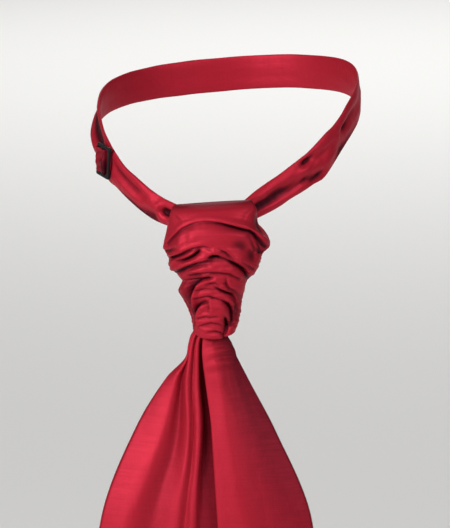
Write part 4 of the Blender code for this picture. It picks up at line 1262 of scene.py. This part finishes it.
class CRAVAT_OT_sleeve(bpy.types.Operator):
    """Makes the ruched sleeve of the knot with its folds, creases and turned hem"""

    bl_idname = "cravat.sleeve"
    bl_label = "Ruched sleeve"

    def execute(self, context):
        cloth = context.scene.cravat_cloth
        cut = cloth.sleeve_cut
        sleeve = add_cloth("ruched_sleeve", SLEEVE_GRID, sleeve_shape, cut, SLEEVE_SILK, cloth.sleeve_wall)
        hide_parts("knot_sleeve")
        return {"FINISHED"}


class CRAVAT_OT_tail(bpy.types.Operator):
    """Makes the pleated tail below the knot, down to its pointed end"""

    bl_idname = "cravat.tail"
    bl_label = "Tail"

    def execute(self, context):
        cloth = context.scene.cravat_cloth
        width, length = cloth.tail_cut
        tail = add_cloth("pleated_tail", TAIL_GRID, tail_shape, (2 * width, length), TAIL_SILK)
        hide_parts("tail")
        return {"FINISHED"}


class CRAVAT_OT_stage(bpy.types.Operator):
    """Makes the pale floor, the soft lights and the camera"""

    bl_idname = "cravat.stage"
    bl_label = "Floor, lights and camera"

    def execute(self, context):
        settings = context.scene.cravat_stage
        self.add_floor(settings)
        for name, place, size, power, target in LIGHTS:
            light = bpy.data.lights.new(name, "AREA")
            light.shape = "DISK"
            light.size = size
            light.energy = getattr(settings, power)
            self.aim(add_object(name, light), place, target)
        world = bpy.data.worlds.new("studio room")
        world.use_nodes = True
        background = world.node_tree.nodes["Background"]
        feed(world.node_tree, background, {"Color": (1.0, 0.985, 0.97, 1), "Strength": settings.sky})
        context.scene.world = world
        context.scene.view_settings.view_transform = "Standard"
        data = bpy.data.cameras.new("camera")
        data.lens = CAMERA_LENS
        data.sensor_width = 36
        data.clip_start = 0.05
        data.clip_end = 100
        context.scene.camera = add_object("camera", data)
        self.aim(context.scene.camera, CAMERA_PLACE, CAMERA_TARGET)
        return {"FINISHED"}

    def add_floor(self, settings):
        bm = bmesh.new()
        bmesh.ops.create_grid(bm, x_segments=4, y_segments=4, size=FLOOR_HALF_SIZE)
        bmesh.ops.translate(bm, verts=bm.verts, vec=(0, 0, CAD_BOX[0][2] - FLOOR_GAP))
        floor = add_object("floor", mesh_from(bm, "floor"))
        material, tree, shader = new_material("pale floor")
        feed(tree, shader, {
            "Base Color": settings.floor_colour,
            "Roughness": 0.9,
            "Specular IOR Level": 0.1,
        })
        floor.data.materials.append(material)

    def aim(self, item, place, target):
        """Sets a light or the camera at its place, looking at its target."""
        item.location = place
        item.rotation_mode = "QUATERNION"
        item.rotation_quaternion = (Vector(target) - Vector(place)).to_track_quat("-Z", "Y")


PIECES = (CRAVAT_OT_straps, CRAVAT_OT_slide, CRAVAT_OT_sleeve, CRAVAT_OT_tail, CRAVAT_OT_stage)


class CRAVAT_PT_panel(bpy.types.Panel):
    """Lists the cravat's settings and the pieces that it is made of"""

    bl_idname = "CRAVAT_PT_panel"
    bl_label = "Silk cravat"
    bl_space_type = "VIEW_3D"
    bl_region_type = "UI"
    bl_category = "Cravat"

    def draw(self, context):
        for group_name in SETTINGS:
            group = getattr(context.scene, group_name)
            for setting in group.bl_rna.properties:
                if setting.identifier not in ("rna_type", "name"):
                    self.layout.prop(group, setting.identifier)
        for operator in PIECES:
            self.layout.operator(operator.bl_idname)


SETTINGS = {
    "cravat_silk": CRAVAT_PG_silk,
    "cravat_cloth": CRAVAT_PG_cloth,
    "cravat_slide": CRAVAT_PG_slide,
    "cravat_stage": CRAVAT_PG_stage,
}


def register():
    for group_name, group in SETTINGS.items():
        bpy.utils.register_class(group)
        setattr(bpy.types.Scene, group_name, bpy.props.PointerProperty(type=group))
    for operator in PIECES:
        bpy.utils.register_class(operator)
    bpy.utils.register_class(CRAVAT_PT_panel)


def unregister():
    bpy.utils.unregister_class(CRAVAT_PT_panel)
    for operator in reversed(PIECES):
        bpy.utils.unregister_class(operator)
    for group_name, group in SETTINGS.items():
        delattr(bpy.types.Scene, group_name)
        bpy.utils.unregister_class(group)


def main():
    register()
    bpy.ops.cravat.straps()
    bpy.ops.cravat.slide()
    bpy.ops.cravat.sleeve()
    bpy.ops.cravat.tail()
    bpy.ops.cravat.stage()


if __name__ == "__main__":
    main()
